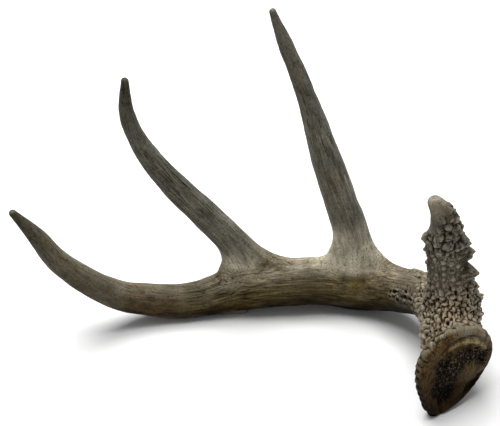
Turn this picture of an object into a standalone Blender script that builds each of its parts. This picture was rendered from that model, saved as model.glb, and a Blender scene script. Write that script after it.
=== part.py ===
"""A shed white-tailed deer antler, right side, standing on its burr and beam with the tines up.

The bone is one branching growth, so it is shaped as one skin and then sawn at its main forks
into the nodes burr_base, brow_tine, beam, second_tine, third_tine and beam_tip.
Metres, +Z up. The camera side is -Y, and the beam runs from the burr at +X to its tip at -X.
"""

import math

import bmesh
import bpy
import numpy as np
from mathutils import Matrix, Vector, noise

MM = 0.001

# ---- Driving dimensions, in millimetres ---------------------------------------------------
# Each route is the middle line of one branch, from its root to its tip: x, y, z and radius.
BEAM = [
    (121, -50, 29.7, 4), (121.5, -36, 34.5, 17.6), (122, -23, 37.5, 17), (121.5, -8, 39.5, 16.8),
    (113.5, 13, 35.5, 14.8), (100.5, 32, 25.5, 14.8), (87, 43, 19.5, 15.7), (70, 50.5, 16, 16.4),
    (47, 52, 18.2, 16.2), (25, 50, 19, 16.2), (6, 48.5, 18.2, 15.4), (-12, 46.5, 16, 14.2),
    (-33, 42.5, 12, 12.5), (-50, 39, 11.4, 11.8), (-70, 35, 15.3, 11), (-89, 29, 23.8, 10.1),
    (-107, 22, 39.3, 8.8), (-123.3, 14, 61.3, 7.2), (-135.6, 7, 87.4, 5.2), (-147, 0.5, 109, 2),
]
BROW_TINE = [
    (124.5, -11, 46, 17.3), (121.5, -14, 61, 14.8), (118, -17.5, 76, 12.3), (115, -21, 90.5, 11.4),
    (112.5, -25, 105.5, 10.2), (111, -29, 118, 8.4), (108.5, -32.5, 128, 7.2),
    (104.7, -35.5, 135, 5.6), (101.7, -37, 139.2, 4.3),
]
SECOND_TINE = [
    (70.5, 49, 21.5, 13.2), (66.8, 46, 48.5, 12), (61.1, 43, 77, 10.7), (51.9, 39.5, 106, 9.8),
    (43, 35.5, 134.5, 8.4), (34.5, 31, 163.5, 6.4), (26.4, 27, 187.4, 5.2),
    (18.2, 22.5, 209.5, 4.1), (10, 17, 233, 1.9),
]
THIRD_TINE = [
    (0, 49, 20, 12.5), (-13.5, 47, 53, 9.7), (-30.3, 44, 77.2, 9.2), (-46.8, 40, 99, 8.3),
    (-62, 35, 122.3, 7), (-71.7, 30, 144, 5.6), (-76, 25, 165.3, 4.4), (-75, 19, 189, 2),
]
# Webs of bone that fill the crotches between the tines and the beam.
THIRD_CROTCH = [(-14, 46, 41, 4.5), (-18.5, 45, 31, 4.5)]
THIRD_FLANK = [
    (-16, 44, 64, 5.5), (-9.5, 45, 54.5, 5.5), (-2, 46, 46, 6), (7, 47, 39.5, 6), (20, 48, 33, 5.5),
]
SECOND_FLANK = [
    (63.5, 45, 78, 4.5), (69.3, 46, 62.5, 5), (73.8, 46, 51, 5.2), (80.5, 45, 41.5, 5.5),
    (90.5, 43, 34, 5),
]
SECOND_CROTCH = [(61.5, 46, 56, 4.5), (58, 47, 47, 5.5), (52, 48, 37.5, 5.5), (43, 49, 32.5, 5)]
ROUTES = {
    "beam": BEAM,
    "brow_tine": BROW_TINE,
    "second_tine": SECOND_TINE,
    "third_tine": THIRD_TINE,
    "third_crotch": THIRD_CROTCH,
    "third_flank": THIRD_FLANK,
    "second_flank": SECOND_FLANK,
    "second_crotch": SECOND_CROTCH,
}
ROUTE_STEP = 1.5
FORK_BLEND = 3.2  # how softly two branches run into each other

BURR_CENTRE = (121, -50, 29.7)
BURR_FACES = (-57, 5)  # the way the burr's face looks: azimuth from +X, and tilt above level
# The burr's radius at every 30 degrees, from the far side over the top and round to the foot.
BURR_OUTLINE = [30.6, 29.6, 27.4, 27.8, 29.6, 30.4, 28.2, 28.4, 33.4, 29.4, 26.8, 27.2]
BURR_HALF_THICKNESS = 4.2
BURR_BEADS = 24
BEAD_HEIGHT = 1.3
SEAL_RADIUS = 19.5  # the bare middle of the burr's face, inside its raised lip
MOAT_DEPTH = 2.0
DOME_HEIGHT = 2.6
SEAL_FLAT_SINK = 0.35  # how deep the rubbed flat in the middle of the seal is

PEARL_SPACING = 6.2
PEARL_HEIGHT = 2.4
PEARL_END_ON_BEAM = (78, 122)  # distance from the burr where the pearls start to fade, and end
PEARL_END_ON_BROW = (76, 94)

# Larger growths: route, distance along it, direction away from it, height and width.
KNOBS = [
    ("brow_tine", 72, (1.0, -0.1, 0.0), 2.2, 4.5),
    ("brow_tine", 62, (1.0, -0.1, 0.0), 5.0, 5.0),
    ("brow_tine", 53, (1.0, -0.1, -0.2), 5.2, 5.0),
    ("brow_tine", 35, (1.0, -0.1, -0.4), 8.0, 5.5),
    ("brow_tine", 19, (1.0, -0.2, 0.0), 4.6, 5.0),
    ("brow_tine", 5, (1.0, 0.0, 0.1), 4.0, 5.5),
    ("brow_tine", 64, (-1.0, 0.0, 0.0), 2.6, 4.5),
    ("brow_tine", 54, (-1.0, -0.1, 0.0), 2.6, 4.5),
    ("beam", 42, (1.0, 0.0, 0.5), 4.0, 6.0),
    ("beam", 32, (1.0, 0.0, 0.4), 5.0, 6.0),
    ("beam", 209, (0.0, -0.5, -0.85), 2.6, 4.5),
    ("beam", 218, (0.0, -0.5, -0.85), 1.8, 9.0),
]

SAW_KERF = 0.3
SAW_RADIUS = 24
# Where the growth is parted: route, and distance along it.
SAW_CUTS = [
    ("brow_tine", 33), ("beam", 86), ("second_tine", 40), ("third_tine", 47), ("beam", 240),
]
# A point inside each node, on a route, by which the sawn pieces are told apart.
NODES = {
    "burr_base": ("beam", 30),
    "brow_tine": ("brow_tine", 70),
    "beam": ("beam", 160),
    "second_tine": ("second_tine", 130),
    "third_tine": ("third_tine", 110),
    "beam_tip": ("beam", 330),
}

VOXEL = 1.7
TRIANGLES = 8200
BONE_COLOUR = (0.135, 0.118, 0.088, 1.0)
PEARLED_COLOUR = (0.095, 0.080, 0.060, 1.0)


# ---- Routes -------------------------------------------------------------------------------
def smooth_between(a, b, c, d, t):
    """The value at share t from b to c, on a smooth line through a, b, c and d."""
    return 0.5 * (2 * b + (c - a) * t + (2 * a - 5 * b + 4 * c - d) * t**2
                  + (3 * b - a - 3 * c + d) * t**3)


def sampled(route):
    """A smooth line through a route's points, as rows of x, y, z, radius in millimetres."""
    points = np.array(route, float)
    before = 2 * points[0] - points[1]
    after = 2 * points[-1] - points[-2]
    points = np.vstack([before, points, after])
    rows = []
    for a, b, c, d in zip(points, points[1:], points[2:], points[3:]):
        count = max(2, math.ceil(np.linalg.norm(c[:3] - b[:3]) / ROUTE_STEP))
        rows += [smooth_between(a, b, c, d, t) for t in np.arange(count) / count]
    return np.array(rows + [points[-2]])


LINES = {name: sampled(route) for name, route in ROUTES.items()}


def lengths_along(line):
    steps = np.linalg.norm(np.diff(line[:, :3], axis=0), axis=1)
    return np.concatenate([[0.0], np.cumsum(steps)])


def place_on(name, distance):
    """The point, direction and radius on a route, at a distance from its root."""
    line = LINES[name]
    along = lengths_along(line)
    row = np.array([np.interp(distance, along, line[:, k]) for k in range(4)])
    i = min(max(int(np.searchsorted(along, distance)), 1), len(line) - 1)
    direction = line[i, :3] - line[i - 1, :3]
    return row[:3], direction / np.linalg.norm(direction), row[3]


def nearest_on(name, points):
    """For each point: the gap to the branch's round surface, the way out, the distance along."""
    line = LINES[name]
    along = lengths_along(line)
    starts = line[:-1]
    spans = np.diff(line, axis=0)
    gap = np.empty(len(points))
    out = np.empty((len(points), 3))
    distance = np.empty(len(points))
    for first in range(0, len(points), 4000):
        block = points[first:first + 4000]
        offset = block[:, None, :] - starts[None, :, :3]
        share = np.einsum("ijk,jk->ij", offset, spans[:, :3]) / (spans[:, :3] ** 2).sum(1)
        share = share.clip(0, 1)
        apart = offset - share[..., None] * spans[None, :, :3]
        reach = np.linalg.norm(apart, axis=2) - (starts[:, 3] + share * spans[:, 3])
        pick = reach.argmin(1)
        rows = np.arange(len(block))
        gap[first:first + 4000] = reach[rows, pick]
        way = apart[rows, pick]
        out[first:first + 4000] = way / np.linalg.norm(way, axis=1, keepdims=True).clip(1e-6)
        step = np.diff(along)[pick]
        distance[first:first + 4000] = along[pick] + share[rows, pick] * step
    return gap, out, distance


# ---- The burr -----------------------------------------------------------------------------
def burr_axes():
    """The burr's outward normal, and the level and the upward direction in its face."""
    azimuth, tilt = (math.radians(a) for a in BURR_FACES)
    normal = np.array([math.cos(azimuth) * math.cos(tilt),
                       math.sin(azimuth) * math.cos(tilt), math.sin(tilt)])
    level = np.cross([0, 0, 1], normal)
    level /= np.linalg.norm(level)
    return normal, level, np.cross(normal, level)


def burr_place(points):
    """Height above the burr's middle plane, radius in that plane, and angle round it."""
    normal, level, upward = burr_axes()
    offset = points - np.array(BURR_CENTRE)
    across, high = offset @ level, offset @ upward
    return offset @ normal, np.hypot(across, high), np.arctan2(high, across)


def burr_outline(angle):
    """The burr's radius at an angle, smoothly through the values of its outline."""
    count = len(BURR_OUTLINE)
    place = angle / (2 * math.pi) * count
    first = np.floor(place).astype(int)
    near = [np.array(BURR_OUTLINE)[(first + k) % count] for k in (-1, 0, 1, 2)]
    return smooth_between(*near, place - first)


def burr_gap(points):
    """The gap to the burr, a disc with a round edge, and the way out of it."""
    height, radius, angle = burr_place(points)
    normal, level, upward = burr_axes()
    over = np.maximum(radius - (burr_outline(angle) - BURR_HALF_THICKNESS), 0)
    reach = np.hypot(over, height)
    radial = np.cos(angle)[:, None] * level + np.sin(angle)[:, None] * upward
    out = over[:, None] * radial + height[:, None] * normal
    return reach - BURR_HALF_THICKNESS, out / reach[:, None].clip(1e-6)


# ---- The skin -----------------------------------------------------------------------------
def skin_gap(points):
    """The gap to the antler's smooth skin, where all the branches and the burr run together."""
    shapes = [nearest_on(name, points)[:2] for name in ROUTES] + [burr_gap(points)]
    gaps = np.array([gap for gap, _ in shapes])
    weights = np.exp(-(gaps - gaps.min(0)) / FORK_BLEND)
    blended = gaps.min(0) - FORK_BLEND * np.log(weights.sum(0))
    out = np.einsum("ij,ijk->jk", weights, np.array([way for _, way in shapes]))
    return blended, out / np.linalg.norm(out, axis=1, keepdims=True).clip(1e-6)


def tube(name, line):
    """A branch as a curve with a round bevel and a radius at each point, made a mesh."""
    curve = bpy.data.curves.new(name, "CURVE")
    curve.dimensions = "3D"
    curve.bevel_depth = MM
    curve.bevel_resolution = 6
    curve.use_fill_caps = True
    spline = curve.splines.new("POLY")
    spline.points.add(len(line) - 1)
    for point, row in zip(spline.points, line):
        point.co = (*(row[:3] * MM), 1.0)
        point.radius = row[3]
    holder = bpy.data.objects.new(name, curve)
    bpy.context.scene.collection.objects.link(holder)
    graph = bpy.context.evaluated_depsgraph_get()
    mesh = bpy.data.meshes.new_from_object(holder.evaluated_get(graph))
    bpy.data.objects.remove(holder)
    return mesh


def rough_form():
    """All the branches and the burr in one object, overlapping."""
    form = bmesh.new()
    for name, line in LINES.items():
        form.from_mesh(tube(name, line))
    normal, level, upward = burr_axes()
    turn = Vector(normal).to_track_quat("Z", "Y").to_matrix().to_4x4()
    burr = bmesh.ops.create_cone(
        form, cap_ends=True, segments=48, radius1=MM, radius2=MM,
        depth=2 * BURR_HALF_THICKNESS * MM,
        matrix=Matrix.Translation(Vector(BURR_CENTRE) * MM) @ turn,
    )
    for vert in burr["verts"]:
        point = np.array([vert.co]) / MM
        _, radius, angle = burr_place(point)
        radial = math.cos(angle[0]) * level + math.sin(angle[0]) * upward
        vert.co = (point[0] + (burr_outline(angle)[0] - 1 - radius[0]) * radial) * MM
    bmesh.ops.remove_doubles(form, verts=form.verts, dist=0.01 * MM)
    mesh = bpy.data.meshes.new("antler")
    form.to_mesh(mesh)
    form.free()
    antler = bpy.data.objects.new("antler", mesh)
    bpy.context.scene.collection.objects.link(antler)
    return antler


def finish_modifiers(obj):
    """Replaces the object's mesh with what its modifiers make of it."""
    graph = bpy.context.evaluated_depsgraph_get()
    mesh = bpy.data.meshes.new_from_object(obj.evaluated_get(graph))
    obj.modifiers.clear()
    obj.data = mesh


def coordinates(mesh):
    points = np.empty(len(mesh.vertices) * 3, np.float32)
    mesh.vertices.foreach_get("co", points)
    return points.reshape(-1, 3).astype(float) / MM


def set_coordinates(mesh, points):
    mesh.vertices.foreach_set("co", (points * MM).astype(np.float32).ravel())
    mesh.update()


def normals(mesh):
    found = np.empty(len(mesh.vertices) * 3, np.float32)
    mesh.vertex_normals.foreach_get("vector", found)
    return found.reshape(-1, 3).astype(float)


def settle_on_skin(mesh, rounds=4):
    points = coordinates(mesh)
    for _ in range(rounds):
        gap, out = skin_gap(points)
        points -= gap[:, None] * out
    set_coordinates(mesh, points)


# ---- Relief -------------------------------------------------------------------------------
def fade(value, start, end):
    """1 up to start, 0 from end, and a smooth step between."""
    share = ((np.asarray(value, float) - start) / (end - start)).clip(0, 1)
    return 1 - share * share * (3 - 2 * share)


def pearl_field(points):
    """Round pearls packed side by side: 1 on top of each and 0 in the creases between them."""
    heights = np.empty(len(points))
    for i, point in enumerate(points / PEARL_SPACING):
        near, second = noise.voronoi(point)[0][:2]
        heights[i] = max(0.0, 1 - (near / 0.8) ** 2) * min(1.0, (second - near) / 0.2)
    return heights


def pearl_zone(points):
    """How strongly each point is pearled: all of it near the burr, none out on the tines."""
    gaps = {name: nearest_on(name, points) for name in ("beam", "brow_tine")}
    on_beam = fade(gaps["beam"][2], *PEARL_END_ON_BEAM) * fade(gaps["beam"][0], 2, 8)
    on_brow = fade(gaps["brow_tine"][2], *PEARL_END_ON_BROW) * fade(gaps["brow_tine"][0], 2, 8)
    height, radius, _ = burr_place(points)
    near_burr = fade(-height, BURR_HALF_THICKNESS, BURR_HALF_THICKNESS + 5) * fade(radius, 34, 36)
    return np.maximum(on_beam, on_brow) * (1 - near_burr)


def burr_relief(points):
    """The burr's own relief: beads round its edge, a raised lip, a moat and a low dome."""
    height, radius, angle = burr_place(points)
    close = fade(np.abs(height), BURR_HALF_THICKNESS + 1, BURR_HALF_THICKNESS + 5)
    edge = (1 - fade(radius - burr_outline(angle), -6, -2)) * close
    wave = np.abs(np.sin(angle * BURR_BEADS / 2 + 0.6 * np.sin(3 * angle)))
    beads = BEAD_HEIGHT * (wave - 0.4) * edge
    face = 1 - fade(height, BURR_HALF_THICKNESS - 2, BURR_HALF_THICKNESS - 0.5)
    dome = DOME_HEIGHT * fade(radius, 0, SEAL_RADIUS * 0.75)
    moat = MOAT_DEPTH * fade(radius, SEAL_RADIUS, SEAL_RADIUS + 4)
    return beads, (dome - moat) * face * fade(radius, 30, 34)


def raise_knobs(points):
    """Pushes each knob of the list out of the skin, steep at the top and wide at the foot."""
    for name, distance, away, high, wide in KNOBS:
        centre, along, radius = place_on(name, distance)
        away = np.array(away) - along * (np.array(away) @ along)
        away /= np.linalg.norm(away)
        gap = np.linalg.norm(points - (centre + away * radius), axis=1) / wide
        points += away * (high * np.exp(-(gap ** 2) * 1.6))[:, None]
    return points


def carve_relief(mesh):
    points = coordinates(mesh)
    outward = normals(mesh)
    beads, face = burr_relief(points)
    pearls = (pearl_field(points) - 0.35) * PEARL_HEIGHT * pearl_zone(points)
    points += outward * (pearls + beads)[:, None]
    points += np.outer(face, burr_axes()[0])
    set_coordinates(mesh, raise_knobs(points))


# ---- Cuts ---------------------------------------------------------------------------------
def link_cutter(name, form, matrix):
    """A closed bmesh as a hidden wire cutter in the collection of cutters."""
    mesh = bpy.data.meshes.new(name)
    form.to_mesh(mesh)
    form.free()
    cutter = bpy.data.objects.new(name, mesh)
    cutter.matrix_world = matrix
    cutter.hide_render = True
    cutter.display_type = "WIRE"
    bpy.data.collections["cutters"].objects.link(cutter)
    return cutter


def disc_cutter(name, centre, direction, radius, thickness):
    form = bmesh.new()
    bmesh.ops.create_cone(form, cap_ends=True, segments=32, radius1=radius * MM,
                          radius2=radius * MM, depth=thickness * MM)
    turn = Vector(direction).to_track_quat("Z", "Y").to_matrix().to_4x4()
    return link_cutter(name, form, Matrix.Translation(Vector(centre) * MM) @ turn)


def ground_cutter():
    """Takes off what would reach under the table, which leaves the worn flats it rests on."""
    form = bmesh.new()
    bmesh.ops.create_cube(form, size=1.0, matrix=Matrix.Diagonal((0.5, 0.4, 0.02, 1)))
    return link_cutter("ground_cutter", form, Matrix.Translation((0, 0, -0.01)))


def seal_cutter():
    """Rubs the top of the seal's dome flat, where the antler once met the skull."""
    normal = burr_axes()[0]
    depth = 12
    top = BURR_HALF_THICKNESS + DOME_HEIGHT - MOAT_DEPTH - SEAL_FLAT_SINK
    centre = np.array(BURR_CENTRE) + normal * (top + depth / 2)
    return disc_cutter("seal_cutter", centre, normal, 12, depth)


def cut(obj, cutter):
    boolean = obj.modifiers.new(cutter.name, "BOOLEAN")
    boolean.operation = "DIFFERENCE"
    boolean.solver = "EXACT"
    boolean.object = cutter


def saw_apart(antler):
    """Saws the antler across at its forks, and returns its loose pieces as new meshes."""
    for i, (name, distance) in enumerate(SAW_CUTS):
        centre, direction, _ = place_on(name, distance)
        cut(antler, disc_cutter(f"saw_{i}", centre, direction, SAW_RADIUS, SAW_KERF))
    finish_modifiers(antler)
    whole = bmesh.new()
    whole.from_mesh(antler.data)
    pieces = []
    while whole.verts:
        found, edge_of_search = set(), [next(iter(whole.verts))]
        while edge_of_search:
            vert = edge_of_search.pop()
            if vert not in found:
                found.add(vert)
                edge_of_search += [edge.other_vert(vert) for edge in vert.link_edges]
        piece = whole.copy()
        indices = {vert.index for vert in found}
        piece.verts.ensure_lookup_table()
        others = [vert for vert in piece.verts if vert.index not in indices]
        bmesh.ops.delete(piece, geom=others, context="VERTS")
        bmesh.ops.triangulate(piece, faces=piece.faces)
        mesh = bpy.data.meshes.new("piece")
        piece.to_mesh(mesh)
        piece.free()
        pieces.append(mesh)
        bmesh.ops.delete(whole, geom=list(found), context="VERTS")
        whole.verts.index_update()
    whole.free()
    bpy.data.objects.remove(antler)
    return pieces


# ---- Materials and nodes ------------------------------------------------------------------
def bone_material(name, colour, roughness):
    material = bpy.data.materials.new(name)
    material.use_nodes = True
    shader = material.node_tree.nodes["Principled BSDF"]
    shader.inputs["Base Color"].default_value = colour
    shader.inputs["Roughness"].default_value = roughness
    shader.inputs["Metallic"].default_value = 0.0
    return material


def nearest_vertex_distance(mesh, point):
    return float(np.linalg.norm(coordinates(mesh) - point, axis=1).min())


def name_nodes(pieces, collection):
    """Gives each sawn piece its node's name, by the point of a route that it holds."""
    smooth = bone_material("bone", BONE_COLOUR, 0.55)
    pearled = bone_material("pearled_bone", PEARLED_COLOUR, 0.7)
    for name, (route, distance) in NODES.items():
        point = place_on(route, distance)[0]
        mesh = min(pieces, key=lambda piece: nearest_vertex_distance(piece, point))
        mesh.name = name
        mesh.materials.clear()
        mesh.materials.append(pearled if name in ("burr_base", "brow_tine") else smooth)
        mesh.shade_smooth()
        mesh.set_sharp_from_angle(angle=math.radians(50))
        node = bpy.data.objects.new(name, mesh)
        collection.objects.link(node)


def main():
    for obj in list(bpy.data.objects):
        bpy.data.objects.remove(obj)
    collection = bpy.data.collections.new("deer_antler")
    cutters = bpy.data.collections.new("cutters")
    for made in (collection, cutters):
        bpy.context.scene.collection.children.link(made)

    antler = rough_form()
    remesh = antler.modifiers.new("one_skin", "REMESH")
    remesh.mode = "VOXEL"
    remesh.voxel_size = VOXEL * MM
    finish_modifiers(antler)
    settle_on_skin(antler.data)
    carve_relief(antler.data)

    antler.data.calc_loop_triangles()
    thin_out = antler.modifiers.new("thin_out", "DECIMATE")
    thin_out.ratio = TRIANGLES / len(antler.data.loop_triangles)
    thin_out.use_collapse_triangulate = True
    finish_modifiers(antler)

    cut(antler, ground_cutter())
    cut(antler, seal_cutter())
    finish_modifiers(antler)
    name_nodes(saw_apart(antler), collection)


main()
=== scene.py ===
# %% [markdown]
# # A shed deer antler
# An antler is bone that grew as one piece: a beam that leaves a knobbly burr, with tines that
# branch off it. The solids that are loaded here have the right size and shape, but they are
# plain and sawn apart at the forks. This notebook grows one seamless antler over them, cuts
# the fine relief into it, and gives it the look of old, weathered bone.
#
# The loaded solids are a fixed frame.

# %% Load the solids
import math

import bmesh
import bpy
import numpy as np
from mathutils import Matrix, Vector, kdtree, noise


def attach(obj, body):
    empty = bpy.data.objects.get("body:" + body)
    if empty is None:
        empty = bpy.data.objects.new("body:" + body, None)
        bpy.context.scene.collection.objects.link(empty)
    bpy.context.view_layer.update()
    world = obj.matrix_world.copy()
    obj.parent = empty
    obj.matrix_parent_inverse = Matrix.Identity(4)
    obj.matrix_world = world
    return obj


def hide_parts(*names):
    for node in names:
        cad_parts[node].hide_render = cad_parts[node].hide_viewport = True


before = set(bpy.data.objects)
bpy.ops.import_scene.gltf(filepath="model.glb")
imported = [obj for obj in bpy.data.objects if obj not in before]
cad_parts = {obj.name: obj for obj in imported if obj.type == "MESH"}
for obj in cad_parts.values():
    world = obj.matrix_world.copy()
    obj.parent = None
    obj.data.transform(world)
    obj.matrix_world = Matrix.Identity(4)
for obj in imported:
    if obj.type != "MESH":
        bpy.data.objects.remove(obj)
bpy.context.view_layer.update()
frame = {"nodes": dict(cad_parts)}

MM = 0.001
print("solids:", ", ".join(frame["nodes"]))

# %% [markdown]
# ## The routes of the branches
# Each branch is a round rod of bone whose thickness changes slowly, so its middle line and
# its radius say nearly all of its shape. A drawn curve with a bevel could hold them, and so
# could the Skin modifier. A plain table of x, y, z and radius in millimetres is used here,
# because the same rows then also tell how far any point is from the bone's surface.

# %% Routes
ROUTES = {
    "beam": [
        (121, -50, 29.7, 4), (121.5, -36, 34.5, 17.6), (122, -23, 37.5, 17),
        (121.5, -8, 39.5, 16.8), (113.5, 13, 35.5, 14.8), (100.5, 32, 25.5, 14.8),
        (87, 43, 19.5, 15.7), (70, 50.5, 16, 16.4), (47, 52, 18.2, 16.2), (25, 50, 19, 16.2),
        (6, 48.5, 18.2, 15.4), (-12, 46.5, 16, 14.2), (-33, 42.5, 12, 12.5),
        (-50, 39, 11.4, 11.8), (-70, 35, 15.3, 11), (-89, 29, 23.8, 10.1),
        (-107, 22, 39.3, 9.0), (-123.3, 14, 61.3, 7.6), (-135.6, 7, 87.4, 5.6),
        (-147, 0.5, 109, 2.2),
    ],
    "brow_tine": [
        (124.5, -11, 46, 17.3), (121.5, -14, 61, 14.8), (118, -17.5, 76, 12.3),
        (115, -21, 90.5, 11.4), (112.5, -25, 105.5, 10.2), (111, -29, 118, 8.4),
        (108.5, -32.5, 128, 7.2), (104.9, -35.5, 135, 5.6), (102.2, -37, 139.2, 4.4),
        (100.7, -37.8, 141.6, 3.6),
    ],
    "second_tine": [
        (70.5, 49, 21.5, 13.2), (66.8, 46, 48.5, 11.8), (64.4, 44.7, 62, 11), (60.8, 43, 77, 10.7),
        (51.5, 39.5, 106, 10.2), (42.8, 35.5, 134.5, 8.7), (34.5, 31, 163.5, 6.6),
        (26.4, 27, 187.4, 5.4), (18.2, 22.5, 209.5, 4.3), (10, 17, 233, 2.0),
    ],
    "third_tine": [
        (0, 49, 20, 12.5), (-13.5, 47, 53, 9.5), (-30.9, 44, 77.2, 9.1),
        (-46.9, 40, 99, 8.7), (-62, 35, 122.3, 7.3), (-71.6, 30, 144, 5.8),
        (-75.8, 25, 165.3, 4.7), (-74.8, 19, 189, 2.2),
    ],
    # Webs of bone fill the crotches where a tine leaves the beam.
    "third_crotch": [(-13, 46, 42, 4.3), (-18, 45, 32, 4.4)],
    "third_flank": [
        (-32, 43.5, 86, 1.4), (-25, 44.5, 75, 2.6), (-17, 44, 64, 4.6), (-9.5, 45, 54.5, 6.2),
        (-2, 46, 46, 7), (7, 47, 39.5, 6.9), (20, 48, 33, 5.7),
    ],
    "second_flank": [
        (63.5, 45, 78, 4.5), (69.3, 46, 62.5, 4.4), (74.3, 46, 51, 5.5), (81.3, 45, 41.8, 5.9),
        (90.5, 43, 34, 5),
    ],
    "second_crotch": [
        (62.4, 46, 56, 4.2), (58.2, 47, 47, 5.5), (52, 48, 37.5, 5.5), (43, 49, 32.5, 5),
    ],
}
print("branches and webs:", len(ROUTES))

# %% [markdown]
# A bone doesn't bend in corners. Between the rows of the table, a smooth line is drawn that
# passes through every row, and it is sampled every millimetre and a half. Each branch will
# end in half a ball, so its line stops a little early.

# %% Smooth lines
ROUTE_STEP = 1.5


def smooth_between(a, b, c, d, t):
    """The value at share t from b to c, on a smooth line through a, b, c and d."""
    return 0.5 * (2 * b + (c - a) * t + (2 * a - 5 * b + 4 * c - d) * t**2
                  + (3 * b - a - 3 * c + d) * t**3)


def sampled(route):
    """A smooth line through a route's points, as rows of x, y, z and radius."""
    points = np.array(route, float)
    points = np.vstack([2 * points[0] - points[1], points, 2 * points[-1] - points[-2]])
    rows = []
    for a, b, c, d in zip(points, points[1:], points[2:], points[3:]):
        count = max(2, math.ceil(np.linalg.norm(c[:3] - b[:3]) / ROUTE_STEP))
        rows += [smooth_between(a, b, c, d, t) for t in np.arange(count) / count]
    return np.array(rows + [points[-2]])


def lengths_along(line):
    """The distance of each row from the line's start."""
    steps = np.linalg.norm(np.diff(line[:, :3], axis=0), axis=1)
    return np.concatenate([[0.0], np.cumsum(steps)])


def shortened(line):
    """The line without its last stretch, so that the round end reaches where the route ends."""
    along = lengths_along(line)
    end = along[-1] - 0.9 * line[-1, 3]
    last = [np.interp(end, along, line[:, k]) for k in range(4)]
    return np.vstack([line[along < end - 0.3], last])


BRANCHES = ("beam", "brow_tine", "second_tine", "third_tine")
LINES = {name: sampled(route) for name, route in ROUTES.items()}
LINES |= {name: shortened(LINES[name]) for name in BRANCHES}
for name in BRANCHES:
    print(f"{name}: {lengths_along(LINES[name])[-1]:.0f} mm along its curve")

# %% [markdown]
# Two questions come back all the time: where is a place on a branch, and how far is a point
# from the branch's surface. The second one first finds the nearest of every few rows, and
# then looks closely only at the rows beside it, which makes it quick enough for a fine mesh.

# %% Places on a branch
COARSE = 6  # rows between those that are tried first
BLOCK = 20000  # points that are worked out together


def place_on(name, distance):
    """The point, direction and radius on a route, at a distance from its root."""
    line = LINES[name]
    along = lengths_along(line)
    row = np.array([np.interp(distance, along, line[:, k]) for k in range(4)])
    i = min(max(int(np.searchsorted(along, distance)), 1), len(line) - 1)
    direction = line[i, :3] - line[i - 1, :3]
    return row[:3], direction / np.linalg.norm(direction), row[3]


def nearest_on(name, points):
    """For each point: the gap to the branch's surface, the way out, the distance along it."""
    line = LINES[name]
    along = lengths_along(line)
    spans = np.diff(line, axis=0)
    found = []
    for block in np.array_split(points, len(points) // BLOCK + 1):
        rough = line[::COARSE]
        far = np.linalg.norm(block[:, None] - rough[None, :, :3], axis=2) - rough[:, 3]
        window = (far.argmin(1) * COARSE)[:, None] + np.arange(-COARSE, COARSE)
        window = window.clip(0, len(spans) - 1)
        offset, span = block[:, None] - line[window, :3], spans[window]
        share = np.einsum("ijk,ijk->ij", offset, span[..., :3]) / (span[..., :3]**2).sum(2)
        share = share.clip(0, 1)
        apart = offset - share[..., None] * span[..., :3]
        reach = np.linalg.norm(apart, axis=2) - line[window, 3] - share * span[..., 3]
        rows, pick = np.arange(len(block)), reach.argmin(1)
        way = apart[rows, pick]
        first = window[rows, pick]
        step = share[rows, pick] * np.diff(along)[first]
        found.append(np.column_stack([
            reach[rows, pick], way / np.linalg.norm(way, axis=1, keepdims=True).clip(1e-6),
            along[first] + step]))
    found = np.vstack(found)
    return found[:, 0], found[:, 1:4], found[:, 4]


point, _, radius = place_on("beam", 200)
print("halfway along the beam:", point.round(1), "radius", round(float(radius), 1))

# %% [markdown]
# ## The burr
# The burr is the collar of bone round the foot of the antler. Its face is the seal that once
# sat on the skull. It is a thick disc with a round edge. A profile that is spun round an axis
# would make such a disc, but always with a circle for its outline, and this one runs out to a
# blunt corner near the ground. So twelve radii, one every 30 degrees from the far side over
# the top, describe the outline.

# %% The burr's plane and outline
BURR_CENTRE = np.array((121, -50, 29.7))
BURR_FACES = (-57, 5)  # the way its face looks: azimuth from +X, and tilt above level
BURR_OUTLINE = [30.6, 29.6, 27.4, 27.8, 29.6, 30.4, 28.2, 28.4, 33.4, 29.4, 26.8, 27.2]
BURR_HALF_THICKNESS = 4.2

azimuth, tilt = (math.radians(angle) for angle in BURR_FACES)
BURR_NORMAL = np.array([math.cos(azimuth) * math.cos(tilt),
                        math.sin(azimuth) * math.cos(tilt), math.sin(tilt)])
BURR_LEVEL = np.cross([0, 0, 1], BURR_NORMAL) / math.cos(tilt)
BURR_UPWARD = np.cross(BURR_NORMAL, BURR_LEVEL)


def around(values, angle):
    """A smooth ring of values, evenly spaced round the burr, read at an angle."""
    place = angle / (2 * math.pi) * len(values)
    first = np.floor(place).astype(int)
    near = [np.array(values)[(first + k) % len(values)] for k in (-1, 0, 1, 2)]
    return smooth_between(*near, place - first)


def on_burr(points):
    """Each point's place on the burr: across, up and above its middle plane."""
    offset = points - BURR_CENTRE
    return offset @ BURR_LEVEL, offset @ BURR_UPWARD, offset @ BURR_NORMAL


def burr_gap(points):
    """The gap to the burr, a disc with a round edge, and the way out of it."""
    across, high, height = on_burr(points)
    angle = np.arctan2(high, across)
    outline = around(BURR_OUTLINE, angle)
    over = np.maximum(np.hypot(across, high) - (outline - BURR_HALF_THICKNESS), 0)
    reach = np.hypot(over, height)
    radial = np.cos(angle)[:, None] * BURR_LEVEL + np.sin(angle)[:, None] * BURR_UPWARD
    out = over[:, None] * radial + height[:, None] * BURR_NORMAL
    return reach - BURR_HALF_THICKNESS, out / reach[:, None].clip(1e-6)


print("the burr's face looks along", BURR_NORMAL.round(2))

# %% [markdown]
# ## One skin over all the branches
# Where a tine leaves the beam there is no line, because the bone flows from one into the
# other. Metaballs flow together in such a way too, but nothing can ask them how far away their
# skin is. Here the gap to the common skin is a soft minimum of the gaps to all the branches:
# the nearer two branches are to each other, the more they fill the corner between them.

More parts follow.
